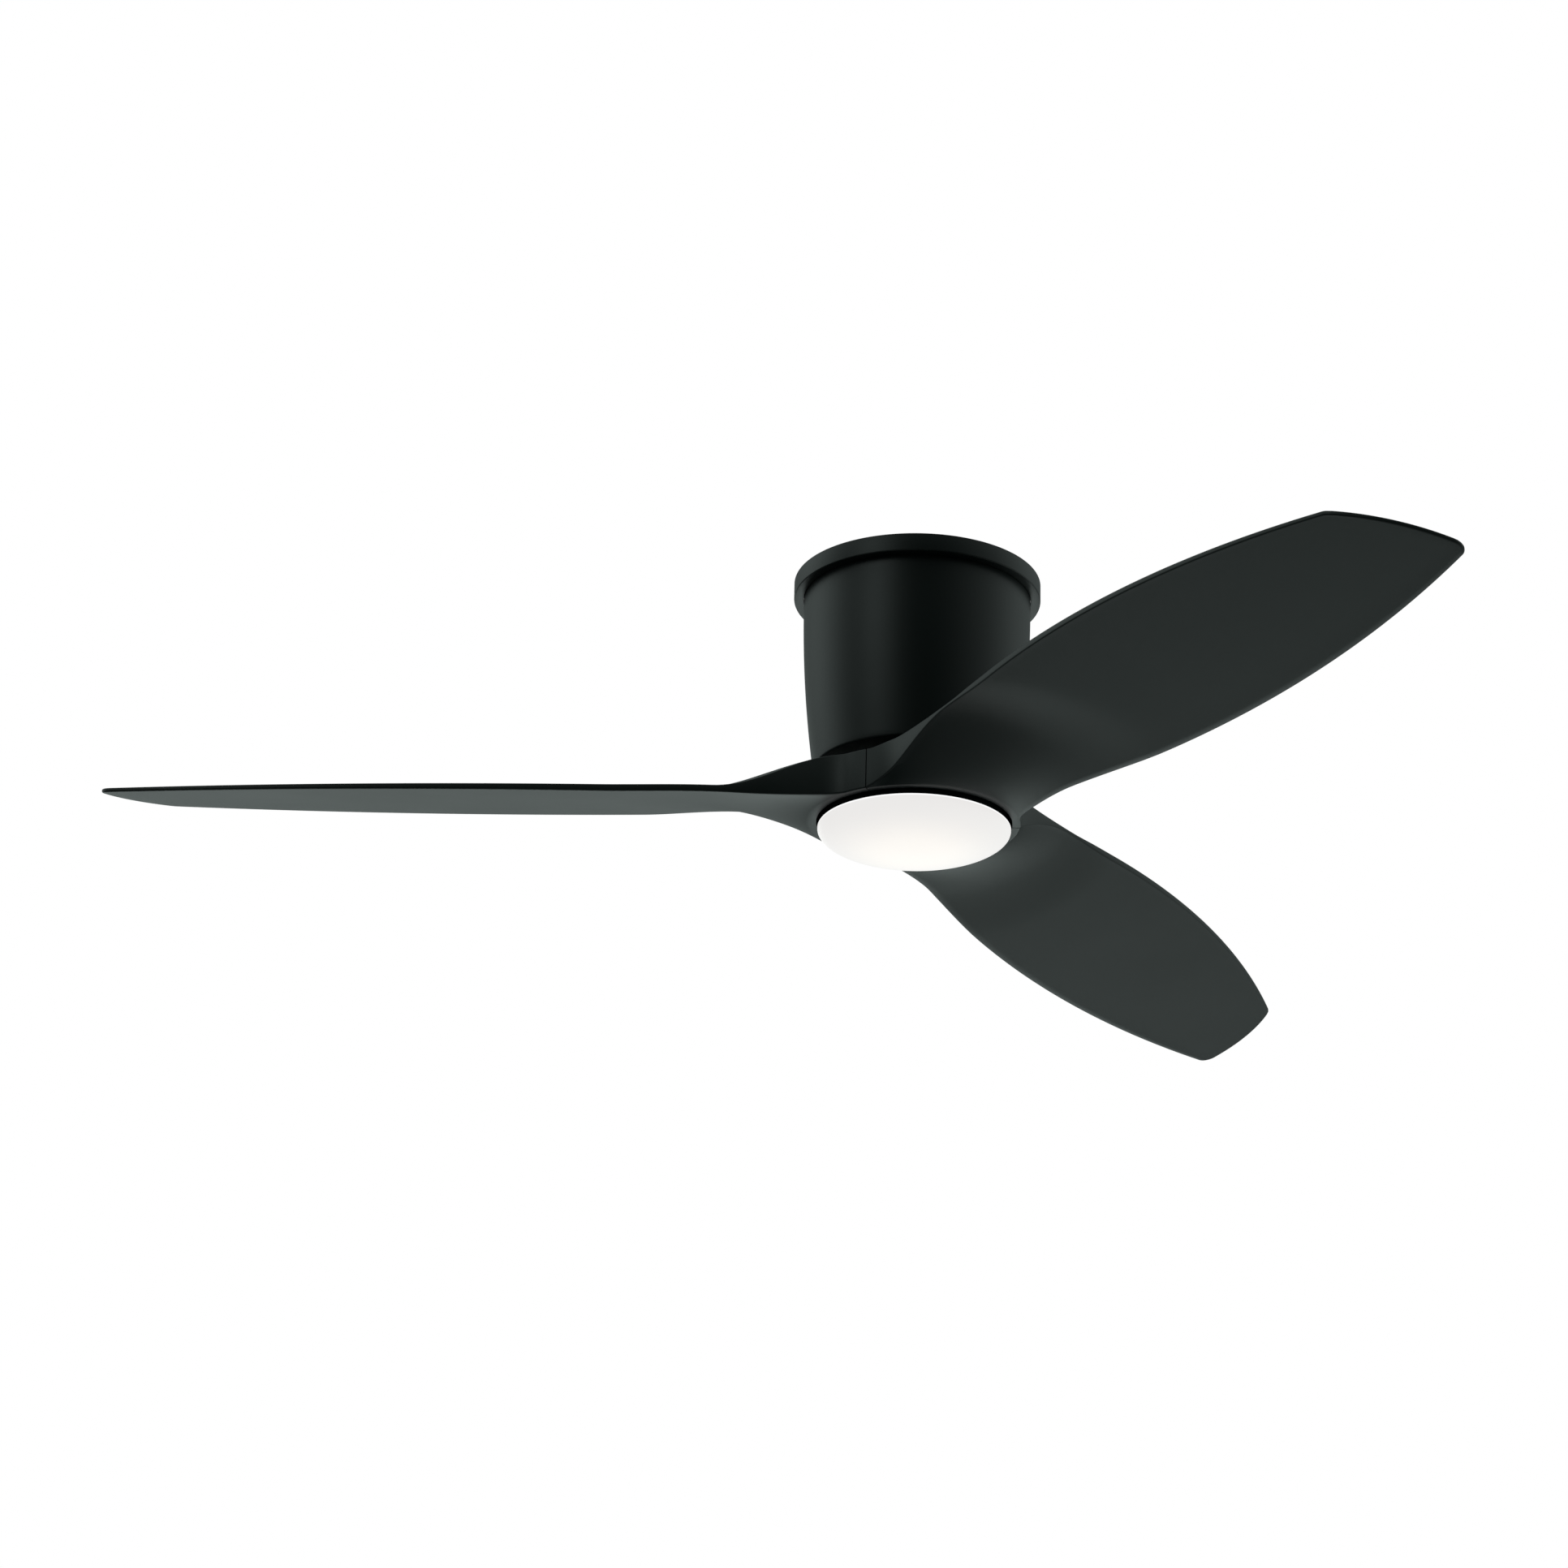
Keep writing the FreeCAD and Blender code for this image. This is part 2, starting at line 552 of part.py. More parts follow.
def make_rotor():
    screws_at = [on_circle(d.bell_screw_circle, 360 / BELL_SCREW_COUNT * index)
                 for index in range(BELL_SCREW_COUNT)]
    screw_holes = [cylinder(SMALL_HOLE, d.bell_split - 6, d.bell_split + 6, x, y) for x, y in screws_at]
    top = d.collar_depth
    seat_bottom = top + d.bearing_width
    upper = turned([
        (d.bearing_radius, top), (d.boss_radius, top), (d.boss_radius, d.bell_top),
        (d.bell_radius, d.bell_top), (d.bell_radius, d.bell_split - d.flange_thick),
        (d.flange_radius, d.bell_split - d.flange_thick), (d.flange_radius, d.bell_split),
        (d.iron_outer, d.bell_split), (d.iron_outer, d.bell_top + d.bell_wall),
        (d.boss_radius, d.bell_top + d.bell_wall), (d.boss_radius, seat_bottom + d.bearing_lip),
        (d.bearing_lip_radius, seat_bottom + d.bearing_lip), (d.bearing_lip_radius, seat_bottom),
        (d.bearing_radius, seat_bottom)])
    node("upper_rotor_bell", cut(upper, *screw_holes))
    seat_top = d.lower_bearing_depth
    seat_bottom = seat_top + d.bearing_width
    foot_top = d.flywheel_top - d.foot_thick
    lower = turned([
        (d.bearing_lip_radius, d.bell_bottom - d.bell_wall),
        (d.iron_outer, d.bell_bottom - d.bell_wall), (d.iron_outer, d.bell_split),
        (d.flange_radius, d.bell_split), (d.flange_radius, d.bell_split + d.flange_thick),
        (d.bell_radius, d.bell_split + d.flange_thick), (d.bell_radius, d.bell_bottom),
        (d.neck_outer, d.bell_bottom), (d.neck_outer, foot_top), (d.foot_outer, foot_top),
        (d.foot_outer, d.flywheel_top), (d.foot_inner, d.flywheel_top), (d.foot_inner, foot_top),
        (d.neck_inner, foot_top), (d.neck_inner, d.bell_bottom), (d.boss_radius, d.bell_bottom),
        (d.boss_radius, seat_bottom), (d.bearing_radius, seat_bottom), (d.bearing_radius, seat_top),
        (d.bearing_lip_radius, seat_top)])
    foot_holes = [cylinder(FOOT_HOLE, foot_top - 1, d.flywheel_top + 1,
                           *on_circle(d.flywheel_screw_circle, turn)) for turn in FOOT_TURNS]
    node("lower_rotor_bell", cut(lower, *screw_holes, *foot_holes))
    head_top = d.bell_split - d.flange_thick - 2
    node("bell_screws", group(*[
        screw(x, y, 2.4, head_top, head_top + 2, SMALL_SHANK, head_top + 1, d.bell_split + d.flange_thick)
        for x, y in screws_at]))
    magnet_bottom = d.magnet_top + d.magnet_height
    node("rotor_back_iron", tube(d.iron_outer, d.magnet_outer, d.magnet_top, magnet_bottom))
    node("rotor_magnets", group(*[
        tube(d.magnet_outer, d.magnet_inner, d.magnet_top, magnet_bottom, 0, 0, MAGNET_ANGLE,
             360 / MAGNET_COUNT * index) for index in range(MAGNET_COUNT)]))


def make_flywheel():
    bottom = d.flywheel_top + d.flywheel_thick
    disc = tube(d.flywheel_radius, d.flywheel_bore, d.flywheel_top, bottom)
    span = (d.flywheel_top - 1, bottom + 1)
    holes = [cylinder(FOOT_HOLE, *span, *on_circle(d.flywheel_screw_circle, turn)) for turn in FOOT_TURNS]
    for blade_turn in BLADE_TURNS:
        for turn in BLADE_SCREW_TURNS:
            x, y = on_circle(d.blade_screw_circle, blade_turn + turn)
            holes.append(cylinder(d.blade_screw_radius + d.screw_play, *span, x, y))
    node("flywheel", cut(disc, *holes))
    node("flywheel_screws", group(*[
        screw(*on_circle(d.flywheel_screw_circle, turn), 4.5, bottom, bottom + HEAD_THICK, FOOT_SHANK,
              d.flywheel_top - d.foot_thick, bottom + 1) for turn in FOOT_TURNS]))


# ---------------------------------------------------------------- blades

ROOT_START = 53.0
BACK_ROOT_END = 140.0
FRONT_ROOT_END = 215.0
ROOT_END = 230.0
ROOT_STATIONS = [ROOT_START + 4.0 * index for index in range(12)]
ROOT_STATIONS += [101.0, 109.0, 117.0, 127.0, 137.0, 149.0, 161.0, 174.0, 187.0, 201.0, 215.0, ROOT_END]
FRONT_RISE = (50.0, 107.0)
FRONT_LIFT = 2.6
BACK_DROP = (92.0, 250.0)
WALL_DROP = (60.0, 160.0)
FRONT_RIM = (52.0, 70.0)


def long_back_edge(span):
    """Distance of the trailing edge from the blade's axis beyond the root: one long arc."""
    radius = d.back_edge_radius.value
    away = span - d.back_edge_middle.value
    return d.back_edge_reach.value - radius + math.sqrt(radius ** 2 - away ** 2)


def long_front_edge(span):
    radius = d.front_edge_radius.value
    away = span - d.front_edge_middle.value
    return -(d.front_edge_reach.value - radius + math.sqrt(radius ** 2 - away ** 2))


def on_arc(start, middle, end, span):
    """Where the circle through three plan points stands at one distance from the hub."""
    circle = Part.Circle(*[FreeCAD.Vector(x, y, 0) for x, y in (start, middle, end)])
    rise = math.sqrt(circle.Radius ** 2 - (span - circle.Center.x) ** 2)
    return circle.Center.y + math.copysign(rise, middle[1] - circle.Center.y)


def back_edge(span):
    """The trailing edge in plan: out of the hub's side, then along the blade."""
    if span < 76.0:
        return on_arc((51.0, 71.7), (62.0, 67.6), (76.0, 66.2), span)
    if span < BACK_ROOT_END:
        end = (BACK_ROOT_END, long_back_edge(BACK_ROOT_END))
        return on_arc((76.0, 66.2), (104.0, 67.0), end, span)
    return long_back_edge(span)


def front_edge(span):
    if span < 76.0:
        return on_arc((51.0, -71.7), (61.0, -64.6), (76.0, -59.6), span)
    if span < FRONT_ROOT_END:
        end = (FRONT_ROOT_END, long_front_edge(FRONT_ROOT_END))
        return on_arc((76.0, -59.6), (112.0, -56.9), end, span)
    return long_front_edge(span)


def ease(value, start, end):
    """0 before start, 1 after end, smooth between them."""
    share = min(max((value - start) / (end - start), 0.0), 1.0)
    return share * share * (3 - 2 * share)


def plane_height(across):
    """Height of the flat, pitched underside."""
    return -d.blade_axis_depth.value - d.blade_slope.value * across


def thickness(span):
    taper = (d.root_thickness - d.tip_thickness).value / (d.blade_tip.value - ROOT_END)
    return d.root_thickness.value - taper * max(span - ROOT_END, 0.0)


def root_section(span):
    """Four corners of the root where it is cut at one distance from the hub. It starts as a piece
    of the hub's wall and twists into the pitched blade."""
    back = back_edge(span)
    front = front_edge(span)
    hub_low = -(d.hub_bottom - d.root_step).value
    hub_high = -(d.hub_top + d.root_step).value
    thick = thickness(span)
    front_share = math.sin(math.pi / 2 * min(max((span - FRONT_RISE[0]) / FRONT_RISE[1], 0.0), 1.0))
    back_low = hub_low + (plane_height(back) - hub_low) * ease(span, *BACK_DROP)
    lift = FRONT_LIFT * (1 - ease(span, 160.0, ROOT_END))
    front_low = hub_low + (plane_height(front) + lift - hub_low) * front_share
    front_rim = hub_high + (-d.front_rim_depth.value - hub_high) * ease(span, *FRONT_RIM)
    front_high = front_rim + (front_low + thick - front_rim) * ease(span, 165.0, ROOT_END)
    wall = hub_high - hub_low
    back_high = back_low + wall + (thick - wall) * ease(span, *WALL_DROP)
    if span == ROOT_END:
        back_low = plane_height(back)
        back_high = back_low + thick
    return [FreeCAD.Vector(span, across, z) for across, z in (
        (back, back_low), (front, front_low), (front, front_high), (back, back_high))]


def blade_root():
    """The twisting root, between close sections, without what would stand inside the hub."""
    sections = []
    for span in ROOT_STATIONS:
        corners = root_section(span)
        sections.append(Part.makePolygon(corners + corners[:1]))
    root = Part.makeLoft(sections, True, True)
    core_radius = (d.hub_inner + d.root_step).value
    core_height = 2 * d.hub_bottom.value
    return root.cut(Part.makeCylinder(core_radius, core_height, FreeCAD.Vector(0, 0, -core_height)))


def blade_plate():
    """The flat outer blade: a tapering pitched plate trimmed to its outline."""
    tip = d.blade_tip.value
    front_tip = d.front_tip.value
    overrun = 20.0
    sections = []
    for span in (ROOT_END, tip + overrun):
        sides = (d.back_edge_reach.value + overrun, -d.front_edge_reach.value - overrun)
        low = [FreeCAD.Vector(span, across, plane_height(across)) for across in sides]
        high = [point + FreeCAD.Vector(0, 0, thickness(span)) for point in reversed(low)]
        sections.append(Part.makePolygon(low + high + low[:1]))
    plate = Part.makeLoft(sections, True, True)

    def arc(*points):
        return Part.Arc(*[FreeCAD.Vector(x, y, 0) for x, y in points]).toShape()

    back_start = (ROOT_END, back_edge(ROOT_END))
    front_start = (ROOT_END, front_edge(ROOT_END))
    back_end = (tip, back_edge(tip))
    front_end = (front_tip, front_edge(front_tip))
    half = ((back_end[0] - front_end[0]) / 2, (back_end[1] - front_end[1]) / 2)
    half_length = math.hypot(*half)
    rise = d.tip_radius.value - math.sqrt(d.tip_radius.value ** 2 - half_length ** 2)
    tip_middle = (front_end[0] + half[0] + rise * half[1] / half_length,
                  front_end[1] + half[1] - rise * half[0] / half_length)
    closing = Part.LineSegment(FreeCAD.Vector(*back_start, 0), FreeCAD.Vector(*front_start, 0))
    edges = [arc(front_start, (400.0, front_edge(400.0)), front_end),
             arc(front_end, tip_middle, back_end),
             arc(back_end, (400.0, back_edge(400.0)), back_start), closing.toShape()]
    face = Part.Face(Part.Wire(edges))
    face.translate(FreeCAD.Vector(0, 0, -d.hub_bottom.value - 40))
    prism = face.extrude(FreeCAD.Vector(0, 0, 100))
    for (x, y), radius in ((back_end, d.back_corner.value), (front_end, d.front_corner.value)):
        upright = [edge for edge in prism.Edges if math.hypot(
            edge.CenterOfMass.x - x, edge.CenterOfMass.y - y) < 0.5]
        prism = prism.makeFillet(radius, upright)
    return plate.common(prism)


def make_blades():
    blade_shapes = (blade_root(), blade_plate())
    for index, turn in enumerate(BLADE_TURNS):
        spin = FreeCAD.Placement(ORIGIN, FreeCAD.Rotation(UP, turn))
        forms = []
        for shape in blade_shapes:
            item = doc.addObject("Part::Feature", "blade_form")
            item.Shape = shape
            item.Placement = spin
            forms.append(item)
        gap_angle = math.degrees(d.seam_gap.value / d.hub_radius.value)
        sector = cylinder(d.hub_radius, d.hub_top, d.hub_bottom, 0, 0, 120 - gap_angle,
                          turn + SEAM_START + gap_angle / 2)
        web_top = d.flywheel_top + d.flywheel_thick
        web_bottom = web_top + d.web_thick
        lip_top = d.hub_bottom - d.hub_lip
        cutters = [
            cylinder(d.hub_inner, d.hub_top - 8, web_top),
            cylinder(d.hub_inner, web_bottom, lip_top),
            cylinder(d.hub_opening, lip_top - 1, d.hub_bottom + 12),
            cylinder(d.web_inner, web_top - 1, web_bottom + 1)]
        for screw_turn in BLADE_SCREW_TURNS:
            x, y = on_circle(d.blade_screw_circle, turn + screw_turn)
            cutters.append(cylinder(d.blade_screw_radius + d.screw_play, web_top - 1,
                                    web_bottom + 1, x, y))
        node(f"blade_{index + 1}", fuse(cut(sector, fuse(*cutters)), *forms))
    head_top = d.flywheel_top + d.flywheel_thick + d.web_thick
    node("blade_screws", group(*[
        screw(*on_circle(d.blade_screw_circle, blade_turn + turn), 4.2, head_top, head_top + HEAD_THICK,
              d.blade_screw_radius, d.flywheel_top, head_top + 1)
        for blade_turn in BLADE_TURNS for turn in BLADE_SCREW_TURNS]))


# ---------------------------------------------------------------- light kit

STANDOFF_TURNS = (30.0, 150.0, 270.0)
LUG_TURNS = (20.0, 140.0, 260.0)
LUG_ANGLE = 24.0


def make_light_kit():
    wall_inner = d.pan_radius - d.pan_wall
    pan = turned([
        (d.spigot_radius, d.pan_top), (d.pan_radius, d.pan_top), (d.pan_radius, d.pan_bottom),
        (wall_inner, d.pan_bottom), (wall_inner, d.pan_top + d.pan_wall),
        (d.spigot_radius, d.pan_top + d.pan_wall)])
    lugs = [tube(wall_inner + 0.5, wall_inner - d.lug_reach, d.lug_depth, d.lug_depth + d.lug_thick,
                 0, 0, LUG_ANGLE, turn - LUG_ANGLE / 2) for turn in LUG_TURNS]
    stops = [tube(wall_inner + 0.5, wall_inner - d.lug_reach, d.collar_top, d.lug_depth + d.lug_thick,
                  0, 0, 3.0, turn + LUG_ANGLE / 2 + 0.4) for turn in LUG_TURNS]
    node("light_kit_pan", fuse(pan, *lugs, *stops))
    carrier_bottom = d.carrier_top + d.carrier_thick
    board_bottom = carrier_bottom + d.board_thick
    span = (d.carrier_top - 1, board_bottom + 1)
    standoffs = []
    screws = []
    carrier_holes = []
    board_holes = []
    for turn in STANDOFF_TURNS:
        x, y = on_circle(d.standoff_circle, turn)
        tall = cylinder(d.standoff_radius, d.pan_top + d.pan_wall, d.carrier_top, x, y)
        standoffs.append(cut(tall, cylinder(SMALL_SHANK, d.carrier_top - 7, d.carrier_top + 1, x, y)))
        screws.append(screw(x, y, SMALL_HEAD, board_bottom, board_bottom + 1.6, SMALL_SHANK,
                            d.carrier_top - 6, board_bottom + 1))
        carrier_holes.append(cylinder(SMALL_HOLE, *span, x, y))
        board_holes.append(cylinder(SMALL_HOLE, *span, x, y))
    node("led_standoffs", group(*standoffs))
    node("led_board_screws", group(*screws))
    node("led_heat_sink", cut(cylinder(d.carrier_radius, d.carrier_top, carrier_bottom),
                              *carrier_holes))
    node("led_board", cut(cylinder(d.board_radius, carrier_bottom, board_bottom), *board_holes))
    chips = []
    for share, count in ((8 / 30, 6), (17 / 30, 12), (25 / 30, 18)):
        for index in range(count):
            turn = 360 / count * index + 8
            chips.append(box(d.led_side, d.led_side, board_bottom, board_bottom + d.led_height,
                             d.standoff_circle * share, -d.led_side * 0.5, turn))
    node("leds", group(*chips))
    driver_top = d.pan_top + d.pan_wall + 2
    node("led_driver", box(d.driver_length, d.driver_width, driver_top, driver_top + d.driver_height,
                           -d.driver_length * 0.5, d.driver_start))


def make_lens():
    shoulder = d.lens_edge + d.lens_band
    rim = tube(d.lens_radius, d.lens_radius - d.lens_wall, d.lens_edge, shoulder)
    shells = []
    for inset in (as_size(0), d.lens_wall):
        dome = doc.addObject("Part::Ellipsoid", "dome")
        bind(dome, Radius1=d.lens_dome - d.lens_band - inset, Radius2=d.lens_radius - inset,
             Radius3=d.lens_radius - inset)
        place(dome, 0, 0, shoulder)
        shells.append(dome)
    below = cylinder(d.lens_radius + 5, shoulder, d.lens_edge + d.lens_dome + 5)
    dome_shell = doc.addObject("Part::Common", "lower_half")
    dome_shell.Base = cut(*shells)
    dome_shell.Tool = below
    node("lens_diffuser", fuse(rim, dome_shell))
    seat = d.lens_edge - 0.6
    collar = turned([
        (d.collar_inner, d.collar_top), (d.collar_outer, d.collar_top), (d.collar_outer, seat),
        (d.lens_radius - 0.8, seat), (d.lens_radius - 0.8, d.lens_edge),
        (d.collar_inner, d.lens_edge)])
    lug_bottom = d.collar_top + d.lens_lug_thick
    lugs = [tube(d.lens_lug_radius, d.collar_outer - 0.5, d.collar_top, lug_bottom, 0, 0,
                 LUG_ANGLE, turn - LUG_ANGLE / 2) for turn in LUG_TURNS]
    node("lens_ring", fuse(collar, *lugs))


# ---------------------------------------------------------------- electrics

def round_path(points, bends):
    """Straight runs joined by tangent arcs."""
    points = [FreeCAD.Vector(*point) for point in points]
    edges = []
    start = points[0]
    for corner, after, radius in zip(points[1:-1], points[2:], bends):
        arrive = (corner - start).normalize()
        leave = (after - corner).normalize()
        turn = arrive.getAngle(leave)
        back = radius * math.tan(turn / 2)
        first = corner - arrive * back
        last = corner + leave * back
        inward = (leave - arrive).normalize()
        middle = corner + inward * (radius / math.cos(turn / 2) - radius)
        edges.append(Part.LineSegment(start, first).toShape())
        edges.append(Part.Arc(first, middle, last).toShape())
        start = last
    edges.append(Part.LineSegment(start, points[-1]).toShape())
    return Part.Wire(edges)


def cable(radius, points, bends):
    path = doc.addObject("Part::Feature", "route")
    path.Shape = round_path(points, bends)
    section = doc.addObject("Part::Circle", "section")
    section.Radius = radius
    first = FreeCAD.Vector(*points[1]) - FreeCAD.Vector(*points[0])
    section.Placement = FreeCAD.Placement(FreeCAD.Vector(*points[0]), FreeCAD.Rotation(UP, first))
    sweep = doc.addObject("Part::Sweep", "cable")
    sweep.Sections = [section]
    sweep.Spine = (path, [f"Edge{number + 1}" for number in range(len(path.Shape.Edges))])
    sweep.Solid = True
    sweep.Frenet = False
    return sweep


def make_electrics():
    top = d.deck_top - d.box_height
    x = d.box_near
    y = d.box_length * -0.5
    outer = box(d.box_width, d.box_length, top, d.deck_top, x, y)
    inner = box(d.box_width - d.box_wall * 2, d.box_length - d.box_wall * 2, top - 1,
                d.deck_top - d.box_wall, x + d.box_wall, y + d.box_wall)
    middle = x + d.box_width * 0.5
    ends = [(d.box_length * 0.5 - 6) * side for side in (-1, 1)]
    posts = [cut(cylinder(3, top, d.deck_top - d.box_wall * 0.5, middle, end),
                 cylinder(SMALL_SHANK, top - 1, top + 9, middle, end)) for end in ends]
    node("control_box_base", fuse(cut(outer, inner), *posts))
    lid_top = top - d.box_wall
    lid = box(d.box_width, d.box_length, lid_top, top, x, y)
    lid_holes = [cylinder(SMALL_HOLE, lid_top - 1, top + 1, middle, end) for end in ends]
    node("control_box_lid", cut(lid, *lid_holes))
    node("control_box_screws", group(*[
        screw(middle, end, SMALL_HEAD, lid_top - 1.6, lid_top, SMALL_SHANK, lid_top - 1, top + 8)
        for end in ends]))
    board_top = d.deck_top - 7
    board_length = d.box_length - 24
    board = box(d.box_width - d.box_wall * 2 - 2, board_length, board_top, board_top + 1.6,
                x + d.box_wall + 1, board_length * -0.5)
    node("control_board", board)
    tall = board_top - 14
    parts = [cylinder(5, tall, board_top, middle - 8, -24), cylinder(5, tall, board_top, middle + 4, -24),
             box(14, 16, board_top - 10, board_top, middle - 6, -8),
             box(20, 5, board_top - 12, board_top, middle - 10, 14),
             box(8, 8, board_top - 4, board_top, middle + 5, 22),
             box(10, 7, board_top - 9, board_top, middle - 14, 23)]
    node("board_components", group(*parts))
    supply = []
    nuts = []
    for lead_y in (-14.0, 0.0, 14.0):
        nut_x = 6.0 if lead_y else -8.0
        supply.append(cable(1.2, [(d.box_near.value, lead_y, -66.0), (nut_x, lead_y, -66.0),
                                  (nut_x, lead_y, -34.0)], [7.0]))
        cone = doc.addObject("Part::Cone", "wire_nut")
        cone.Radius1 = 5.0
        cone.Radius2 = 3.5
        cone.Height = 20.0
        place(cone, nut_x, lead_y, 34.0)
        nuts.append(cone)
    node("supply_leads", group(*supply))
    node("wire_nuts", group(*nuts))
    coil_face = -d.coil_start.value * math.cos(math.radians(15)) + 0.8
    node("motor_leads", cable(LEAD_RADIUS, [
        (d.box_near.value, 0, -LEAD_DEPTH), (LEAD_X, 0, -LEAD_DEPTH), (LEAD_X, 0, -LEAD_EXIT_DEPTH),
        (coil_face, 0, -LEAD_EXIT_DEPTH)], [9.0, 3.0]))
    driver_side = d.driver_start.value
    cable_low = d.spigot_depth.value + 3.4
    node("light_cable", cable(CABLE_RADIUS, [
        (d.box_near.value, 0, -CABLE_DEPTH), (CABLE_X, 0, -CABLE_DEPTH), (CABLE_X, 0, -cable_low),
        (CABLE_X, driver_side, -cable_low)], [5.5, 3.2]))


def check_document():
    """Stop on a failed object or an unusable shape before any file is written."""
    doc.recompute()
    failed = [item.Label for item in doc.Objects
              if {"Invalid", "Error"} & set(item.State)]
    if failed:
        raise RuntimeError(f"failed objects: {failed}")
    for name, item in nodes.items():
        shape = item.Shape
        if shape.isNull() or not shape.isValid() or not shape.Solids:
            raise RuntimeError(f"{name} has no valid solid")
    for index in range(3):
        shape = nodes[f"blade_{index + 1}"].Shape
        reach = max(math.hypot(vertex.X, vertex.Y) for vertex in shape.Vertexes)
        if len(shape.Solids) != 1 or reach < d.blade_tip.value - d.back_corner.value:
            raise RuntimeError(f"blade {index + 1} isn't one solid from the hub to the tip")


def write_parts():
    os.makedirs("parts", exist_ok=True)
    for name, item in nodes.items():
        item.Shape.exportStep(f"parts/{name}.step")
        print(name, len(item.Shape.Solids), round(item.Shape.Volume))


make_ceiling_side()
make_shaft()
make_bearing("upper", d.collar_depth)
make_bearing("lower", d.lower_bearing_depth)
make_stator()
make_rotor()
make_flywheel()
make_blades()
make_light_kit()
make_lens()
make_electrics()
check_document()
write_parts()
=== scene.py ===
import json
import math
import bmesh
import bpy
from mathutils import Matrix, Vector


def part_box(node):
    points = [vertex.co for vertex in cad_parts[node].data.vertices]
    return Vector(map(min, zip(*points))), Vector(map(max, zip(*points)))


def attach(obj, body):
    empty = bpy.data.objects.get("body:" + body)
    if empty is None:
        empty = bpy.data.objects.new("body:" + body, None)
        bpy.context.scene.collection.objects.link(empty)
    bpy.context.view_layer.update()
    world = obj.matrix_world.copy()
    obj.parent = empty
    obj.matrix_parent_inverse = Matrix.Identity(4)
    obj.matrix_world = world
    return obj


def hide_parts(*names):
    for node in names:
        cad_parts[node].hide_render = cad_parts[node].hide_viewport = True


# Ceiling fan with a light, hung below z = 0, +Z up. Shapes are worked out in millimetres and each
# mesh is scaled to metres when it is made.

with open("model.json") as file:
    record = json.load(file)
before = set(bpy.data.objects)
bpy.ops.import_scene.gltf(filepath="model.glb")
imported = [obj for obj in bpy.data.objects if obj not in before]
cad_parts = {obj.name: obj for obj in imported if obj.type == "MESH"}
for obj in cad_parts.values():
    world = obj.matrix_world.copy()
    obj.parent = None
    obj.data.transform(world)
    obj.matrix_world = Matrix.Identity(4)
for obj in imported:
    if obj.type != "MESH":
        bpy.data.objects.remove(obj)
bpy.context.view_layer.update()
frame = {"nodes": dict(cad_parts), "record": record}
MM = 0.001


def cad_size(node):
    """Outer radius, top and bottom of a CAD node that is round about the fan's axis."""
    low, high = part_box(node)
    return high.x / MM, high.z / MM, low.z / MM


RING_RADIUS, RING_TOP, RING_BOTTOM = cad_size("canopy_ring")
DRUM_RADIUS, DRUM_TOP, DRUM_BOTTOM = cad_size("motor_housing")
LENS_RADIUS, LENS_TOP, LENS_BOTTOM = cad_size("lens_diffuser")

RING_WALL = 2.0
RING_GAP = 0.1
DRUM_WALL = 1.5
DRUM_BASE_RADIUS = 84.0
DRUM_STRAIGHT_END = -20.0
DRUM_CURVE = 1045.0
DRUM_OPENING = 58.0
DRUM_STEPS = 28
DRUM_COUNT = 192
LENS_WALL = 2.0
LENS_BAND = 1.3
LENS_STEPS = 40
LENS_COUNT = 160
BRIM_THICK = 0.6
BRIM_INSET = 0.8
COLLAR_INNER = 69.5
COLLAR_OUTER = 71.5
COLLAR_TOP = -212.8
LUG_RADIUS = 74.0
LUG_THICK = 1.9
LUG_TURNS = (20.0, 140.0, 260.0)
LUG_ANGLE = 24.0
LUG_SUNK = 0.4
LUG_STEPS = 10

# The blades. A turn is in degrees about the fan's axis. Places on a blade are (span, across): span
# runs from the fan's axis to the tip, and across from the leading edge to the trailing edge.
REST_TURN = 178.0
SEAM_START = -54.5
HUB_RADIUS = 88.0
HUB_TOP = -180.7
HUB_BOTTOM = -214.8
HUB_INNER = 83.0
HUB_OPENING = 80.0
HUB_LIP = 3.0
WEB_TOP = -181.0
WEB_BOTTOM = -187.0
WEB_INNER = 50.0
SEAM_GAP = 0.9
AXIS_HEIGHT = -198.4
SLOPE = 0.252
BACK_TIP = 660.0
FRONT_TIP = 617.0
TIP_RADIUS = 155.0
BACK_CORNER = 11.0
FRONT_CORNER = 14.0
ROOT_THICK = 5.9
TIP_THICK = 3.3
EDGE_ROUND = 1.2

# Each long edge leaves the hub, bends once and then follows an arc. An arc is (radius, span of its
# middle, how far across its middle is), and the directions are in degrees from the blade's axis.
BACK_ARC = (1370.0, 425.0, 100.9)
BACK_ARC_START = 140
BACK_BEND = (80, 66.2)
BACK_BEND_SLOPE = 0
BACK_ROOT = (51.0, 71.7)
BACK_ROOT_SLOPE = -35.4
FRONT_ARC = (1163.0, 275.0, -60.8)
FRONT_ARC_START = 215
FRONT_BEND = (78, -59.4)
FRONT_BEND_SLOPE = 10
FRONT_ROOT_SLOPE = 35.5

# Heights that change along the blade, each with the spans where its change starts and ends.
BACK_RISE = (92, 250)
BACK_WALL_FALL = (60, 160)
FRONT_RISE_START = 51.5
FRONT_RISE_LENGTH = 105.5
FRONT_LIFT = 2.6
FRONT_LIFT_FALL = (160, 230)
FRONT_WALL_FALL = (165, 230)
RIM_LIFT = 2.5
RIM_RISE = (52, 70)
THIN_START = 230


# ---------------------------------------------------------------- outlines

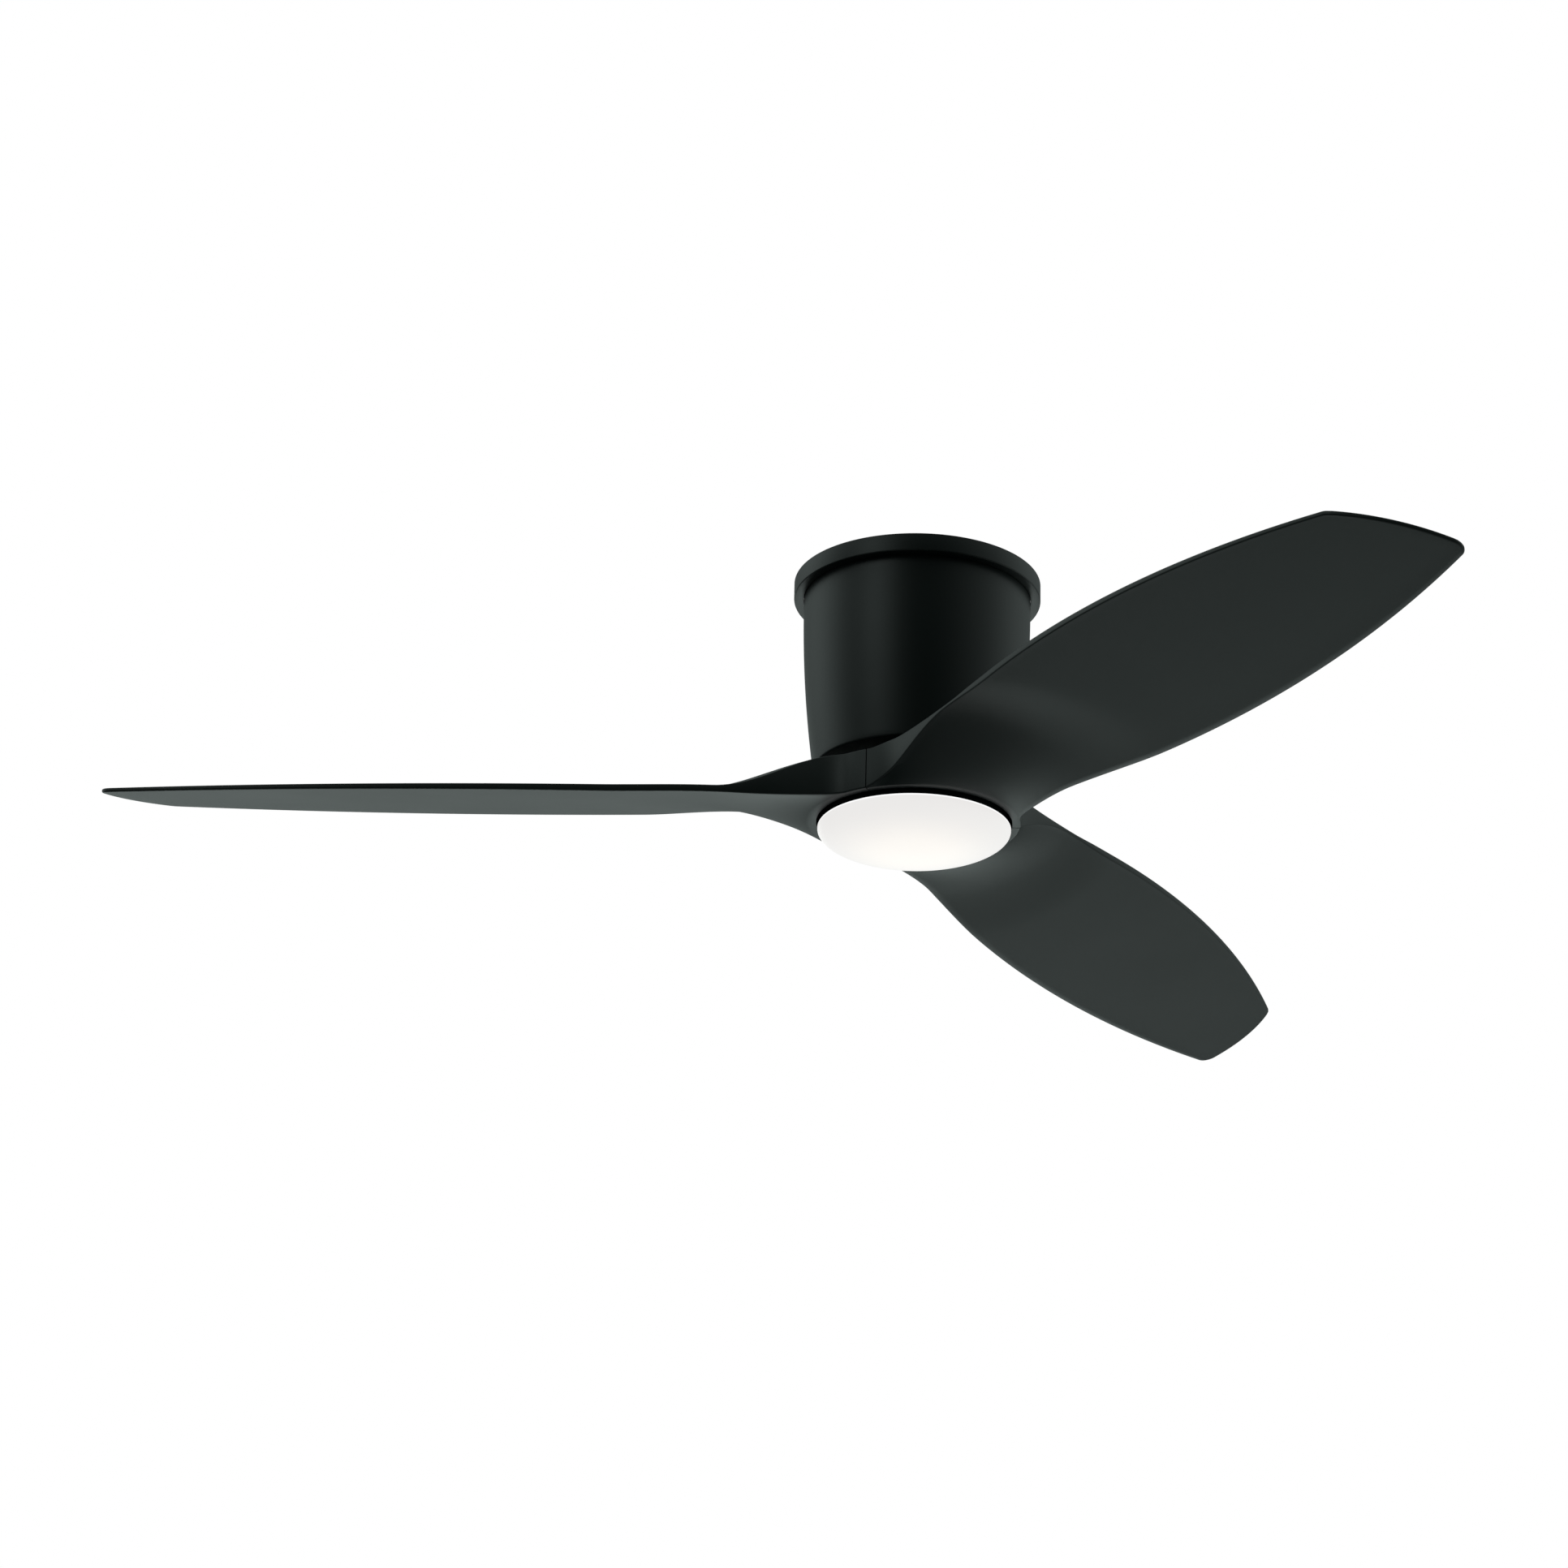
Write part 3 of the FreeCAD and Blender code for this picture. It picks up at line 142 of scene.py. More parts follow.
def rounded(corners, steps=6):
    """Points of a line whose corners are rounded. Each corner is (x, y, radius)."""
    points = []
    last = len(corners) - 1
    for index, (x, y, radius) in enumerate(corners):
        corner = Vector((x, y))
        if radius == 0 or index in (0, last):
            points.append(corner)
            continue
        arrive = (corner - Vector(corners[index - 1][:2])).normalized()
        leave = (Vector(corners[index + 1][:2]) - corner).normalized()
        turn = arrive.angle_signed(leave)
        back = radius * math.tan(abs(turn) / 2)
        start = corner - arrive * back
        side = Vector((-arrive.y, arrive.x)) * math.copysign(radius, -turn)
        centre = start + side
        for step in range(steps + 1):
            points.append(centre + Matrix.Rotation(-turn * step / steps, 2) @ -side)
    return points


def bezier(start, start_slope, start_pull, end, end_slope, end_pull, steps=14):
    """A smooth bend between two points, each with its direction in degrees and its pull."""
    points = [Vector(start), None, None, Vector(end)]
    for middle, corner, slope, pull in ((1, 0, start_slope, start_pull), (2, 3, end_slope, -end_pull)):
        angle = math.radians(slope)
        points[middle] = points[corner] + Vector((math.cos(angle), math.sin(angle))) * pull
    curve = []
    for step in range(steps + 1):
        t = step / steps
        weights = ((1 - t) ** 3, 3 * t * (1 - t) ** 2, 3 * t * t * (1 - t), t ** 3)
        parts = (point * weight for point, weight in zip(points, weights))
        curve.append(sum(parts, Vector((0, 0))))
    return curve


def resampled(points, places, measure=None):
    """Points of a line at the given places; a place is a share of its length, or of measure."""
    totals = [0.0]
    for before, after in zip(points, points[1:]):
        totals.append(totals[-1] + (after - before).length)
    totals = [total / totals[-1] for total in totals]
    if measure:
        totals = [measure(point) for point in points]
    found = []
    index = 0
    for place in places:
        while index < len(points) - 2 and totals[index + 1] < place:
            index += 1
        span = totals[index + 1] - totals[index]
        share = min(max((place - totals[index]) / span, 0.0), 1.0)
        found.append(points[index].lerp(points[index + 1], share))
    return found


def ease(value, start, end):
    """0 before start, 1 after end, smooth between them."""
    share = min(max((value - start) / (end - start), 0.0), 1.0)
    return share * share * (3 - 2 * share)


# ---------------------------------------------------------------- meshes

WELD = 0.002
SHARP_EDGE = math.radians(32.0)


def finish_mesh(name, form, body, replaced, material):
    """Turn a bmesh in millimetres into a piece that rides on a body."""
    bmesh.ops.remove_doubles(form, verts=form.verts, dist=WELD)
    bmesh.ops.dissolve_degenerate(form, edges=form.edges, dist=WELD)
    bmesh.ops.recalc_face_normals(form, faces=form.faces)
    bmesh.ops.scale(form, vec=(MM, MM, MM), verts=form.verts)
    mesh = bpy.data.meshes.new(name)
    form.to_mesh(mesh)
    form.free()
    mesh.polygons.foreach_set("use_smooth", [True] * len(mesh.polygons))
    mesh.set_sharp_from_angle(angle=SHARP_EDGE)
    mesh.materials.append(material)
    piece = bpy.data.objects.new(name, mesh)
    bpy.context.scene.collection.objects.link(piece)
    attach(piece, body)
    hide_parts(*replaced)


def strip(form, rows, closed=False):
    """Faces between neighbouring rows of points."""
    rows = [[form.verts.new(point) for point in row] for row in rows]
    if closed:
        rows.append(rows[0])
    for row, following in zip(rows, rows[1:]):
        for index in range(len(row) - 1):
            corners = (row[index], row[index + 1], following[index + 1], following[index])
            form.faces.new(corners)


def at_turn(radius, height, turn):
    """A point about the fan's axis; its turn is in radians."""
    return Vector((radius * math.cos(turn), radius * math.sin(turn), height))


def lathe(form, profile, count):
    """Turn a profile of (radius, height) points about the fan's axis."""
    turns = [2 * math.pi * index / count for index in range(count)]
    rows = [[at_turn(r, z, turn) for r, z in profile] for turn in turns]
    strip(form, rows, closed=True)


# ---------------------------------------------------------------- one blade with its third of the hub

# The mesh: how far apart its rows are from the hub to the tip, and the points that its curves have.
ROOT_ROWS = [3.0] * 14 + [5.0] * 30
SPAN_ROWS = [12.5] * 32
TIP_ROWS = [3.0] * 3 + [1.2] * 8
BLADE_COLUMNS = 28
HUB_COLUMNS = 7
BACK_SPANS = range(152, 650, 8)
FRONT_SPANS = range(223, 606, 8)
TIP_STEPS = 24
TIP_CLEAR = 10
CORNER_STEPS = 12
ROUND_STEPS = 4
FRONT_ROOT_TURN = math.radians(SEAM_START) + SEAM_GAP / HUB_RADIUS / 2
SEAM_END_TURN = math.radians(SEAM_START + 120) - SEAM_GAP / HUB_RADIUS / 2


def edge_arc(arc, span):
    """How far across a long edge's arc is at a span."""
    radius, middle, reach = arc
    drop = radius - math.sqrt(radius ** 2 - (span - middle) ** 2)
    return reach - math.copysign(drop, reach)


def plane_height(across):
    """Height of the pitched blade's underside, the same all along the span."""
    return AXIS_HEIGHT - SLOPE * across


def thickness(span):
    """The blade keeps its thickness near the hub and then thins evenly to the tip."""
    thinned = max(span - THIN_START, 0) / (BACK_TIP - THIN_START)
    return ROOT_THICK - (ROOT_THICK - TIP_THICK) * thinned


def back_heights(point):
    """Underside and top of the trailing edge; its tall root is part of the hub's wall."""
    span, across = point
    low = HUB_BOTTOM + (plane_height(across) - HUB_BOTTOM) * ease(span, *BACK_RISE)
    wall = HUB_TOP - HUB_BOTTOM
    return low, low + wall + (thickness(span) - wall) * ease(span, *BACK_WALL_FALL)


def front_heights(point):
    """Underside and top of the leading edge, which rises quickly from the hub's rim."""
    span, across = point
    risen = min(max((span - FRONT_RISE_START) / FRONT_RISE_LENGTH, 0), 1)
    lift = FRONT_LIFT * (1 - ease(span, *FRONT_LIFT_FALL))
    low = HUB_BOTTOM + (plane_height(across) + lift - HUB_BOTTOM) * math.sin(math.pi / 2 * risen)
    rim = HUB_TOP + RIM_LIFT * ease(span, *RIM_RISE)
    return low, rim + (low + thickness(span) - rim) * ease(span, *FRONT_WALL_FALL)


def tip_arc(front_end, back_end):
    """The tip's arc from the leading edge to the trailing edge, kept clear of its two corners."""
    chord = back_end - front_end
    rise = TIP_RADIUS - math.sqrt(TIP_RADIUS ** 2 - (chord.length / 2) ** 2)
    out = Vector((chord.y, -chord.x)).normalized()
    centre = front_end + chord / 2 + out * (rise - TIP_RADIUS)
    reach = abs((front_end - centre).angle_signed(back_end - centre))
    clear = TIP_CLEAR / TIP_RADIUS
    turns = [clear + (reach - 2 * clear) * step / TIP_STEPS for step in range(TIP_STEPS + 1)]
    return [centre + Matrix.Rotation(turn, 2) @ (front_end - centre) for turn in turns]


def back_edge():
    """The trailing edge in plan, from the hub outward."""
    start = (BACK_ARC_START, edge_arc(BACK_ARC, BACK_ARC_START))
    slope = math.degrees(math.asin((BACK_ARC[1] - BACK_ARC_START) / BACK_ARC[0]))
    points = bezier(BACK_ROOT, BACK_ROOT_SLOPE, 10, BACK_BEND, BACK_BEND_SLOPE, 10)
    points += bezier(BACK_BEND, BACK_BEND_SLOPE, 20, start, slope, 20)[1:]
    return points + [Vector((span, edge_arc(BACK_ARC, span))) for span in BACK_SPANS]


def front_edge():
    """The leading edge in plan, from the hub's seam outward."""
    root = at_turn(HUB_RADIUS, 0, FRONT_ROOT_TURN).xy
    start = (FRONT_ARC_START, edge_arc(FRONT_ARC, FRONT_ARC_START))
    slope = -math.degrees(math.asin((FRONT_ARC[1] - FRONT_ARC_START) / FRONT_ARC[0]))
    points = bezier(root, FRONT_ROOT_SLOPE, 14, FRONT_BEND, FRONT_BEND_SLOPE, 8)
    points += bezier(FRONT_BEND, FRONT_BEND_SLOPE, 20, start, slope, 45)[1:]
    return points + [Vector((span, edge_arc(FRONT_ARC, span))) for span in FRONT_SPANS]


def blade_sides():
    """The two long edges from the hub outward and the tip from front to back, in plan. They meet
    in the middle of the tip's two rounded corners."""
    back = back_edge()
    front = front_edge()
    back_end = (BACK_TIP, edge_arc(BACK_ARC, BACK_TIP))
    front_end = (FRONT_TIP, edge_arc(FRONT_ARC, FRONT_TIP))
    tip = tip_arc(Vector(front_end), Vector(back_end))
    corners = [(*point, 0) for point in front] + [(*front_end, FRONT_CORNER)]
    corners += [(*point, 0) for point in tip] + [(*back_end, BACK_CORNER)]
    corners += [(*point, 0) for point in reversed(back)]
    line = rounded(corners, CORNER_STEPS)
    front_middle = len(front) + CORNER_STEPS // 2
    back_middle = len(line) - len(back) - CORNER_STEPS // 2 - 1
    return line[:front_middle + 1], line[front_middle:back_middle + 1], line[back_middle:][::-1]


def inset(points, distance):
    """Move a line of plan points to its left, which is inside a counterclockwise outline."""
    moved = []
    for index, point in enumerate(points):
        along = points[min(index + 1, len(points) - 1)] - points[max(index - 1, 0)]
        moved.append(point + Vector((-along.y, along.x)).normalized() * distance)
    return moved


def patch(front, back, root, tip, shares, heights):
    """A surface between four edges in plan. Heights run straight from the front edge's to the
    back edge's along every row."""
    rows = []
    columns = len(root) - 1
    for row, share in enumerate(shares):
        points = []
        for column in range(columns + 1):
            t = column / columns
            across = front[row] * (1 - t) + back[row] * t
            outward = root[column] * (1 - share) + tip[column] * share
            inner = root[0] * (1 - t) + root[-1] * t
            outer = tip[0] * (1 - t) + tip[-1] * t
            plan = across + outward - inner * (1 - share) - outer * share
            height = heights[row][0] * (1 - t) + heights[row][1] * t
            points.append(Vector((*plan, height)))
        rows.append(points)
    return rows


def blade_form():
    """One blade along +X with its sector of the hub, as a closed bmesh."""
    front_line, tip_line, back_line = blade_sides()
    steps = ROOT_ROWS + SPAN_ROWS + TIP_ROWS
    shares = [sum(steps[:index]) / sum(steps) for index in range(len(steps) + 1)]
    front = resampled(front_line, shares)
    back = resampled(back_line, shares)
    columns = [column / BLADE_COLUMNS for column in range(BLADE_COLUMNS + 1)]
    reach = [tip_line[0].y + (tip_line[-1].y - tip_line[0].y) * column for column in columns]
    tip = resampled(tip_line, reach, lambda point: point.y)
    back_turn = math.atan2(BACK_ROOT[1], BACK_ROOT[0])
    turns = [back_turn + (SEAM_END_TURN - back_turn) * column / HUB_COLUMNS
             for column in range(1, HUB_COLUMNS + 1)]
    hub = [at_turn(HUB_RADIUS, 0, turn).xy for turn in turns]

    outline = front + tip[1:-1] + back[::-1] + hub
    front_z = [front_heights(point) for point in front]
    back_z = [back_heights(point) for point in back]
    tip_z = []
    for column in columns[1:-1]:
        ends = zip(front_z[-1], back_z[-1])
        tip_z.append(tuple(a + (b - a) * column for a, b in ends))
    outline_z = front_z + tip_z + back_z[::-1] + [(HUB_BOTTOM, HUB_TOP)] * len(hub)

    form = bmesh.new()
    quarter = [math.pi / 2 * step / ROUND_STEPS for step in range(ROUND_STEPS + 1)]
    rings = [inset(outline, EDGE_ROUND * (1 - math.sin(turn))) for turn in quarter]
    wall = []
    for place, (low, high) in enumerate(outline_z):
        column = []
        for ring, turn in zip(rings, quarter):
            column.append(Vector((*ring[place], low + EDGE_ROUND * (1 - math.cos(turn)))))
        for ring, turn in zip(rings[::-1], quarter[::-1]):
            column.append(Vector((*ring[place], high - EDGE_ROUND * (1 - math.cos(turn)))))
        wall.append(column)
    strip(form, wall)

    count = len(shares)
    inner = rings[0]
    front_in = inner[:count]
    tip_in = inner[count - 1:count + BLADE_COLUMNS]
    back_in = inner[count + BLADE_COLUMNS - 1:2 * count + BLADE_COLUMNS - 1][::-1]
    rim = HUB_RADIUS - EDGE_ROUND
    root_y = [front_in[0].y + (back_in[0].y - front_in[0].y) * column for column in columns]
    root = [Vector((math.sqrt(rim ** 2 - y * y), y)) for y in root_y]
    root[0] = front_in[0]
    root[-1] = back_in[0]
    for side in (0, 1):
        heights = [(a[side], b[side]) for a, b in zip(front_z, back_z)]
        strip(form, patch(front_in, back_in, root, tip_in, shares, heights))

    lip_top = HUB_BOTTOM + HUB_LIP
    profile = rounded([
        (rim, HUB_BOTTOM, 0), (HUB_OPENING, HUB_BOTTOM, 0.8), (HUB_OPENING, lip_top, 0.4),
        (HUB_INNER, lip_top, 0), (HUB_INNER, WEB_BOTTOM, 1.0), (WEB_INNER, WEB_BOTTOM, 0.6),
        (WEB_INNER, WEB_TOP, 0.6), (HUB_INNER, WEB_TOP, 0), (HUB_INNER, HUB_TOP, 0),
        (rim, HUB_TOP, 0)], 4)
    sections = []
    for point in root + inner[-HUB_COLUMNS:]:
        turn = math.atan2(point.y, point.x)
        middle = [at_turn(r, z, turn) for r, z in profile[1:-1]]
        sections.append([Vector((*point, HUB_BOTTOM)), *middle, Vector((*point, HUB_TOP))])
    strip(form, sections)
    for section, column in ((sections[0], wall[0]), (sections[-1], wall[-1])):
        form.faces.new([form.verts.new(point) for point in section[1:-1] + column[::-1]])
    return form


def make_blades(material):
    for index in range(3):
        form = blade_form()
        turn = Matrix.Rotation(math.radians(REST_TURN + 120 * index), 3, "Z")
        bmesh.ops.rotate(form, cent=(0, 0, 0), matrix=turn, verts=form.verts)
        name = f"blade_{index + 1}"
        finish_mesh(f"moulded_{name}", form, "rotor", [name], material)


# ---------------------------------------------------------------- drum, ring and lens

def make_drum(material):
    """The drum: straight at the top, then a long arc that draws in to a rounded base."""
    half = Vector((DRUM_BASE_RADIUS - DRUM_RADIUS, DRUM_BOTTOM - DRUM_STRAIGHT_END)) / 2
    out = Vector((-half.y, half.x)).normalized()
    depth = math.sqrt(DRUM_CURVE ** 2 - half.length ** 2)
    centre = Vector((DRUM_RADIUS, DRUM_STRAIGHT_END)) + half - out * depth
    side = []
    for step in range(1, DRUM_STEPS):
        place = Vector((DRUM_RADIUS, DRUM_STRAIGHT_END)) + half * (2 * step / DRUM_STEPS)
        side.append(centre + (place - centre).normalized() * DRUM_CURVE)
    outer = [(DRUM_RADIUS, DRUM_TOP, 0.6), (DRUM_RADIUS, DRUM_STRAIGHT_END, 0)]
    outer += [(*point, 0) for point in side] + [(DRUM_BASE_RADIUS, DRUM_BOTTOM, 1.8)]
    base_top = DRUM_BOTTOM + DRUM_WALL
    inner = [(DRUM_OPENING, DRUM_BOTTOM, 0.5), (DRUM_OPENING, base_top, 0.3)]
    inner += [(DRUM_BASE_RADIUS - DRUM_WALL, base_top, 1.0)]
    inner += [(point.x - DRUM_WALL, point.y, 0) for point in reversed(side)]
    inner += [(DRUM_RADIUS - DRUM_WALL, DRUM_STRAIGHT_END, 0)]
    start = [(DRUM_RADIUS - DRUM_WALL, DRUM_TOP, 0)]
    form = bmesh.new()
    lathe(form, rounded(start + outer + inner + start, 5), DRUM_COUNT)
    finish_mesh("drum_shell", form, "root", ["motor_housing"], material)


def make_ring(material):
    """The ring against the ceiling, with a lip at its bottom that closes it round the drum."""
    inner = RING_RADIUS - RING_WALL
    lip = DRUM_RADIUS + RING_GAP
    lip_top = RING_BOTTOM + RING_WALL
    profile = rounded([
        (inner, RING_TOP, 0), (RING_RADIUS, RING_TOP, 0.4), (RING_RADIUS, RING_BOTTOM, 0.9),
        (lip, RING_BOTTOM, 0.5), (lip, lip_top, 0.4), (inner, lip_top, 0.5), (inner, RING_TOP, 0)], 5)
    form = bmesh.new()
    lathe(form, profile, DRUM_COUNT)
    finish_mesh("ceiling_ring", form, "root", ["canopy_ring"], material)


def make_lens(material):
    """The opal dome with its short upright rim."""
    shoulder = LENS_TOP - LENS_BAND
    faces = []
    for wall, order in ((0.0, 1), (LENS_WALL, -1)):
        rise = shoulder - LENS_BOTTOM - wall
        reach = LENS_RADIUS - wall
        turns = [math.pi / 2 * step / LENS_STEPS for step in range(LENS_STEPS + 1)][::order]
        faces.append([(reach * math.cos(turn), shoulder - rise * math.sin(turn), 0) for turn in turns])
    outer, inner = faces
    rim = [(LENS_RADIUS - LENS_WALL, LENS_TOP, 0), (LENS_RADIUS, LENS_TOP, 0.5)]
    form = bmesh.new()
    lathe(form, rounded(rim + outer + inner + rim[:1], 5), LENS_COUNT)
    finish_mesh("opal_dome", form, "lens", ["lens_diffuser"], material)


def make_lens_ring(material):
    """The bayonet ring that holds the lens, with its three lugs."""
    brim_top = LENS_TOP + BRIM_THICK
    brim = LENS_RADIUS - BRIM_INSET
    collar = rounded([
        (COLLAR_INNER, COLLAR_TOP, 0), (COLLAR_OUTER, COLLAR_TOP, 0.3), (COLLAR_OUTER, brim_top, 0.3),
        (brim, brim_top, 0.25), (brim, LENS_TOP, 0), (COLLAR_INNER, LENS_TOP, 0),
        (COLLAR_INNER, COLLAR_TOP, 0)], 4)
    form = bmesh.new()
    lathe(form, collar, LENS_COUNT)
    lug_root = COLLAR_OUTER - LUG_SUNK
    lug_bottom = COLLAR_TOP - LUG_THICK
    lug = rounded([
        (lug_root, COLLAR_TOP, 0), (LUG_RADIUS, COLLAR_TOP, 0.4), (LUG_RADIUS, lug_bottom, 0.4),
        (lug_root, lug_bottom, 0), (lug_root, COLLAR_TOP, 0)], 3)
    for middle in LUG_TURNS:
        start = middle - LUG_ANGLE / 2
        turns = [math.radians(start + LUG_ANGLE * step / LUG_STEPS) for step in range(LUG_STEPS + 1)]
        rows = [[at_turn(r, z, turn) for r, z in lug] for turn in turns]
        strip(form, rows)
        for row in (rows[0], rows[-1]):
            form.faces.new([form.verts.new(point) for point in row[:-1]])
    finish_mesh("bayonet_ring", form, "lens", ["lens_ring"], material)


# ---------------------------------------------------------------- materials

class Value:
    """A number that changes over a surface. Arithmetic on it adds Math nodes."""

    def __init__(self, shade, socket):
        self.shade = shade
        self.socket = socket

    def math(self, operation, *numbers):
        return self.shade.node("ShaderNodeMath", {"operation": operation}, dict(enumerate(numbers)))

    def __add__(self, other):
        return self.math("ADD", self, other)

    def __sub__(self, other):
        return self.math("SUBTRACT", self, other)

    def __rsub__(self, other):
        return self.math("SUBTRACT", other, self)

    def __mul__(self, other):
        return self.math("MULTIPLY", self, other)

    def __truediv__(self, other):
        return self.math("DIVIDE", self, other)

    def __pow__(self, other):
        return self.math("POWER", self, other)

    __radd__ = __add__
    __rmul__ = __mul__

    def wave(self):
        return self.math("SINE", self)

    def between(self, low, high):
        """0 at low, 1 at high, held between them."""
        sockets = {0: self, 1: low, 2: high}
        return self.shade.node("ShaderNodeMapRange", {"interpolation_type": "SMOOTHSTEP"}, sockets)


class Shade:
    """A node tree being built. node() adds a node: its type, its settings, then its sockets."""

    def __init__(self, owner, place="Object"):
        self.owner = owner
        owner.use_nodes = True
        self.tree = owner.node_tree
        self.tree.nodes.clear()
        self.place = self.node("ShaderNodeTexCoord", output=place)

    def node(self, kind, settings=None, sockets=None, output=0):
        made = self.tree.nodes.new(kind)
        for name, setting in (settings or {}).items():
            setattr(made, name, setting)
        for name, value in (sockets or {}).items():
            if isinstance(value, Value):
                self.tree.links.new(value.socket, made.inputs[name])
            else:
                made.inputs[name].default_value = value
        return Value(self, made.outputs[output]) if made.outputs else made

    def noise(self, scale, detail=2.0, place=None):
        sockets = {"Vector": place or self.place, "Scale": scale, "Detail": detail}
        return self.node("ShaderNodeTexNoise", {}, sockets)

    def crystals(self, scale):
        """Cells that each have one random colour."""
        sockets = {"Vector": self.place, "Scale": scale}
        return self.node("ShaderNodeTexVoronoi", {}, sockets, "Color")

    def stretched(self, x, y, z):
        """The place on the object, scaled along each axis."""
        sockets = {0: self.place, 1: (x, y, z)}
        return self.node("ShaderNodeVectorMath", {"operation": "MULTIPLY"}, sockets)

    def axis(self, letter):
        return self.node("ShaderNodeSeparateXYZ", {}, {0: self.place}, letter.upper())

    def blend(self, share, first, second):
        """A colour between two colours; either may change over the surface itself."""
        ends = [end if isinstance(end, Value) else (*end, 1.0) for end in (first, second)]
        sockets = {0: share, 6: ends[0], 7: ends[1]}
        return self.node("ShaderNodeMix", {"data_type": "RGBA"}, sockets, 2)

    def bump(self, height, distance):
        """A relief; its distance is how high the marks are, in metres."""
        sockets = {"Strength": 1.0, "Distance": distance, "Height": height}
        return self.node("ShaderNodeBump", {}, sockets)

    def finish(self, **sockets):
        """Join a Principled shader to the output; underscores stand for spaces."""
        named = {name.replace("_", " "): value for name, value in sockets.items()}
        shader = self.node("ShaderNodeBsdfPrincipled", {}, named)
        self.node("ShaderNodeOutputMaterial", {}, {0: shader})
        return self.owner


def moulded_black(name, dark, light, roughness, grain, grain_height):
    """Satin black with a fine even grain and a slow drift of sheen."""
    shade = Shade(bpy.data.materials.new(name))
    drift = shade.noise(9.0, 3.0)
    fine = shade.noise(grain, 2.0)
    color = shade.blend(drift * 0.6 + fine * 0.4, dark, light)
    rough = roughness + (drift - 0.5) * 0.08 + (fine - 0.5) * 0.06
    return shade.finish(Base_Color=color, Roughness=rough, Normal=shade.bump(fine, grain_height),
                        IOR=1.5, Specular_IOR_Level=0.5)


def opal():
    """Frosted white, lit from behind: warm in the middle, cooler outward, with a painted highlight
    along the rim.
    """
    shade = Shade(bpy.data.materials.new("opal_glow"))
    x = shade.axis("x")
    y = shade.axis("y")
    out = ((x * x + y * y) ** 0.5) / (LENS_RADIUS * MM)
    cloud = (shade.noise(26.0, 2.0) - 0.5) * 0.10
    middle = 1 - (out + cloud).between(0.25, 0.98)
    glow = shade.blend(middle, (0.80, 0.782, 0.77), (0.90, 0.86, 0.82))
    # Painted highlight: the upright rim band above the shoulder glows pure white, standing in for
    # light caught on the lens's edge.
    shoulder = (LENS_TOP - LENS_BAND) * MM
    rim = shade.axis("z").between(shoulder - 0.3 * MM, shoulder + 0.1 * MM)
    fine = shade.noise(2400.0, 1.0)
    return shade.finish(Base_Color=shade.blend(middle, (0.30, 0.305, 0.31), (0.31, 0.305, 0.30)),
                        Roughness=0.42 + fine * 0.06, Specular_IOR_Level=0.25,
                        Emission_Color=shade.blend(rim, glow, (1.0, 1.0, 1.0)),
                        Emission_Strength=1.0, Normal=shade.bump(fine, 0.00002), IOR=1.49)


def metal(name, dark, light, roughness, scale, stretch=(1, 1, 1), height=0.00003):
    """Bare or plated metal whose marks are drawn out along the axes with the smallest stretch."""
    shade = Shade(bpy.data.materials.new(name))
    marks = shade.noise(scale, 4.0, shade.stretched(*stretch))
    stain = shade.noise(45.0, 3.0)
    color = shade.blend(stain * 0.5 + marks * 0.5, dark, light)
    rough = roughness + (marks - 0.5) * 0.16 + (stain - 0.5) * 0.10
    return shade.finish(Base_Color=color, Roughness=rough, Metallic=1.0,
                        Normal=shade.bump(marks, height))


def zinc():
    """Zinc plate: a fine crystal pattern with a faint blue and yellow cast."""
    shade = Shade(bpy.data.materials.new("zinc_steel"))
    cast = shade.noise(30.0, 2.0)
    color = shade.blend(cast, (0.50, 0.52, 0.56), (0.62, 0.60, 0.54))
    rough = 0.30 + shade.crystals(420.0) * 0.12 + (cast - 0.5) * 0.08
    return shade.finish(Base_Color=color, Roughness=rough, Metallic=1.0,
                        Normal=shade.bump(shade.noise(900.0), 0.00002))


def laminated():
    """Varnished steel sheets, half a millimetre each."""
    shade = Shade(bpy.data.materials.new("lamination_steel"))
    sheets = (shade.axis("z") * (2 * math.pi / (0.5 * MM))).wave() * 0.5 + 0.5
    stain = shade.noise(60.0, 3.0)
    color = shade.blend(sheets * 0.6 + stain * 0.4, (0.10, 0.10, 0.11), (0.30, 0.31, 0.33))
    return shade.finish(Base_Color=color, Roughness=0.42 + stain * 0.15, Metallic=0.8,
                        Normal=shade.bump(sheets, 0.00006))


def wound():
    """Enamelled copper wire in close turns, with a darker varnish between them."""
    shade = Shade(bpy.data.materials.new("copper_wire"))
    turns = (shade.axis("z") * (2 * math.pi / (0.8 * MM))).wave() * 0.5 + 0.5
    uneven = shade.noise(140.0, 3.0)
    color = shade.blend(turns * 0.7 + uneven * 0.3, (0.30, 0.09, 0.03), (0.80, 0.36, 0.15))
    return shade.finish(Base_Color=color, Roughness=0.26 + uneven * 0.14, Metallic=0.85,
                        Coat_Weight=turns * 0.5, Normal=shade.bump(turns, 0.00018))


def moulded(name, dark, light, roughness, grain=900.0, height=0.00003):
    """A plastic or ceramic part with a slight cloudiness and a fine skin."""
    shade = Shade(bpy.data.materials.new(name))
    cloud = shade.noise(38.0, 3.0)
    fine = shade.noise(grain, 2.0)
    color = shade.blend(cloud * 0.6 + fine * 0.4, dark, light)
    return shade.finish(Base_Color=color, Roughness=roughness + (fine - 0.5) * 0.10,
                        Normal=shade.bump(fine, height))


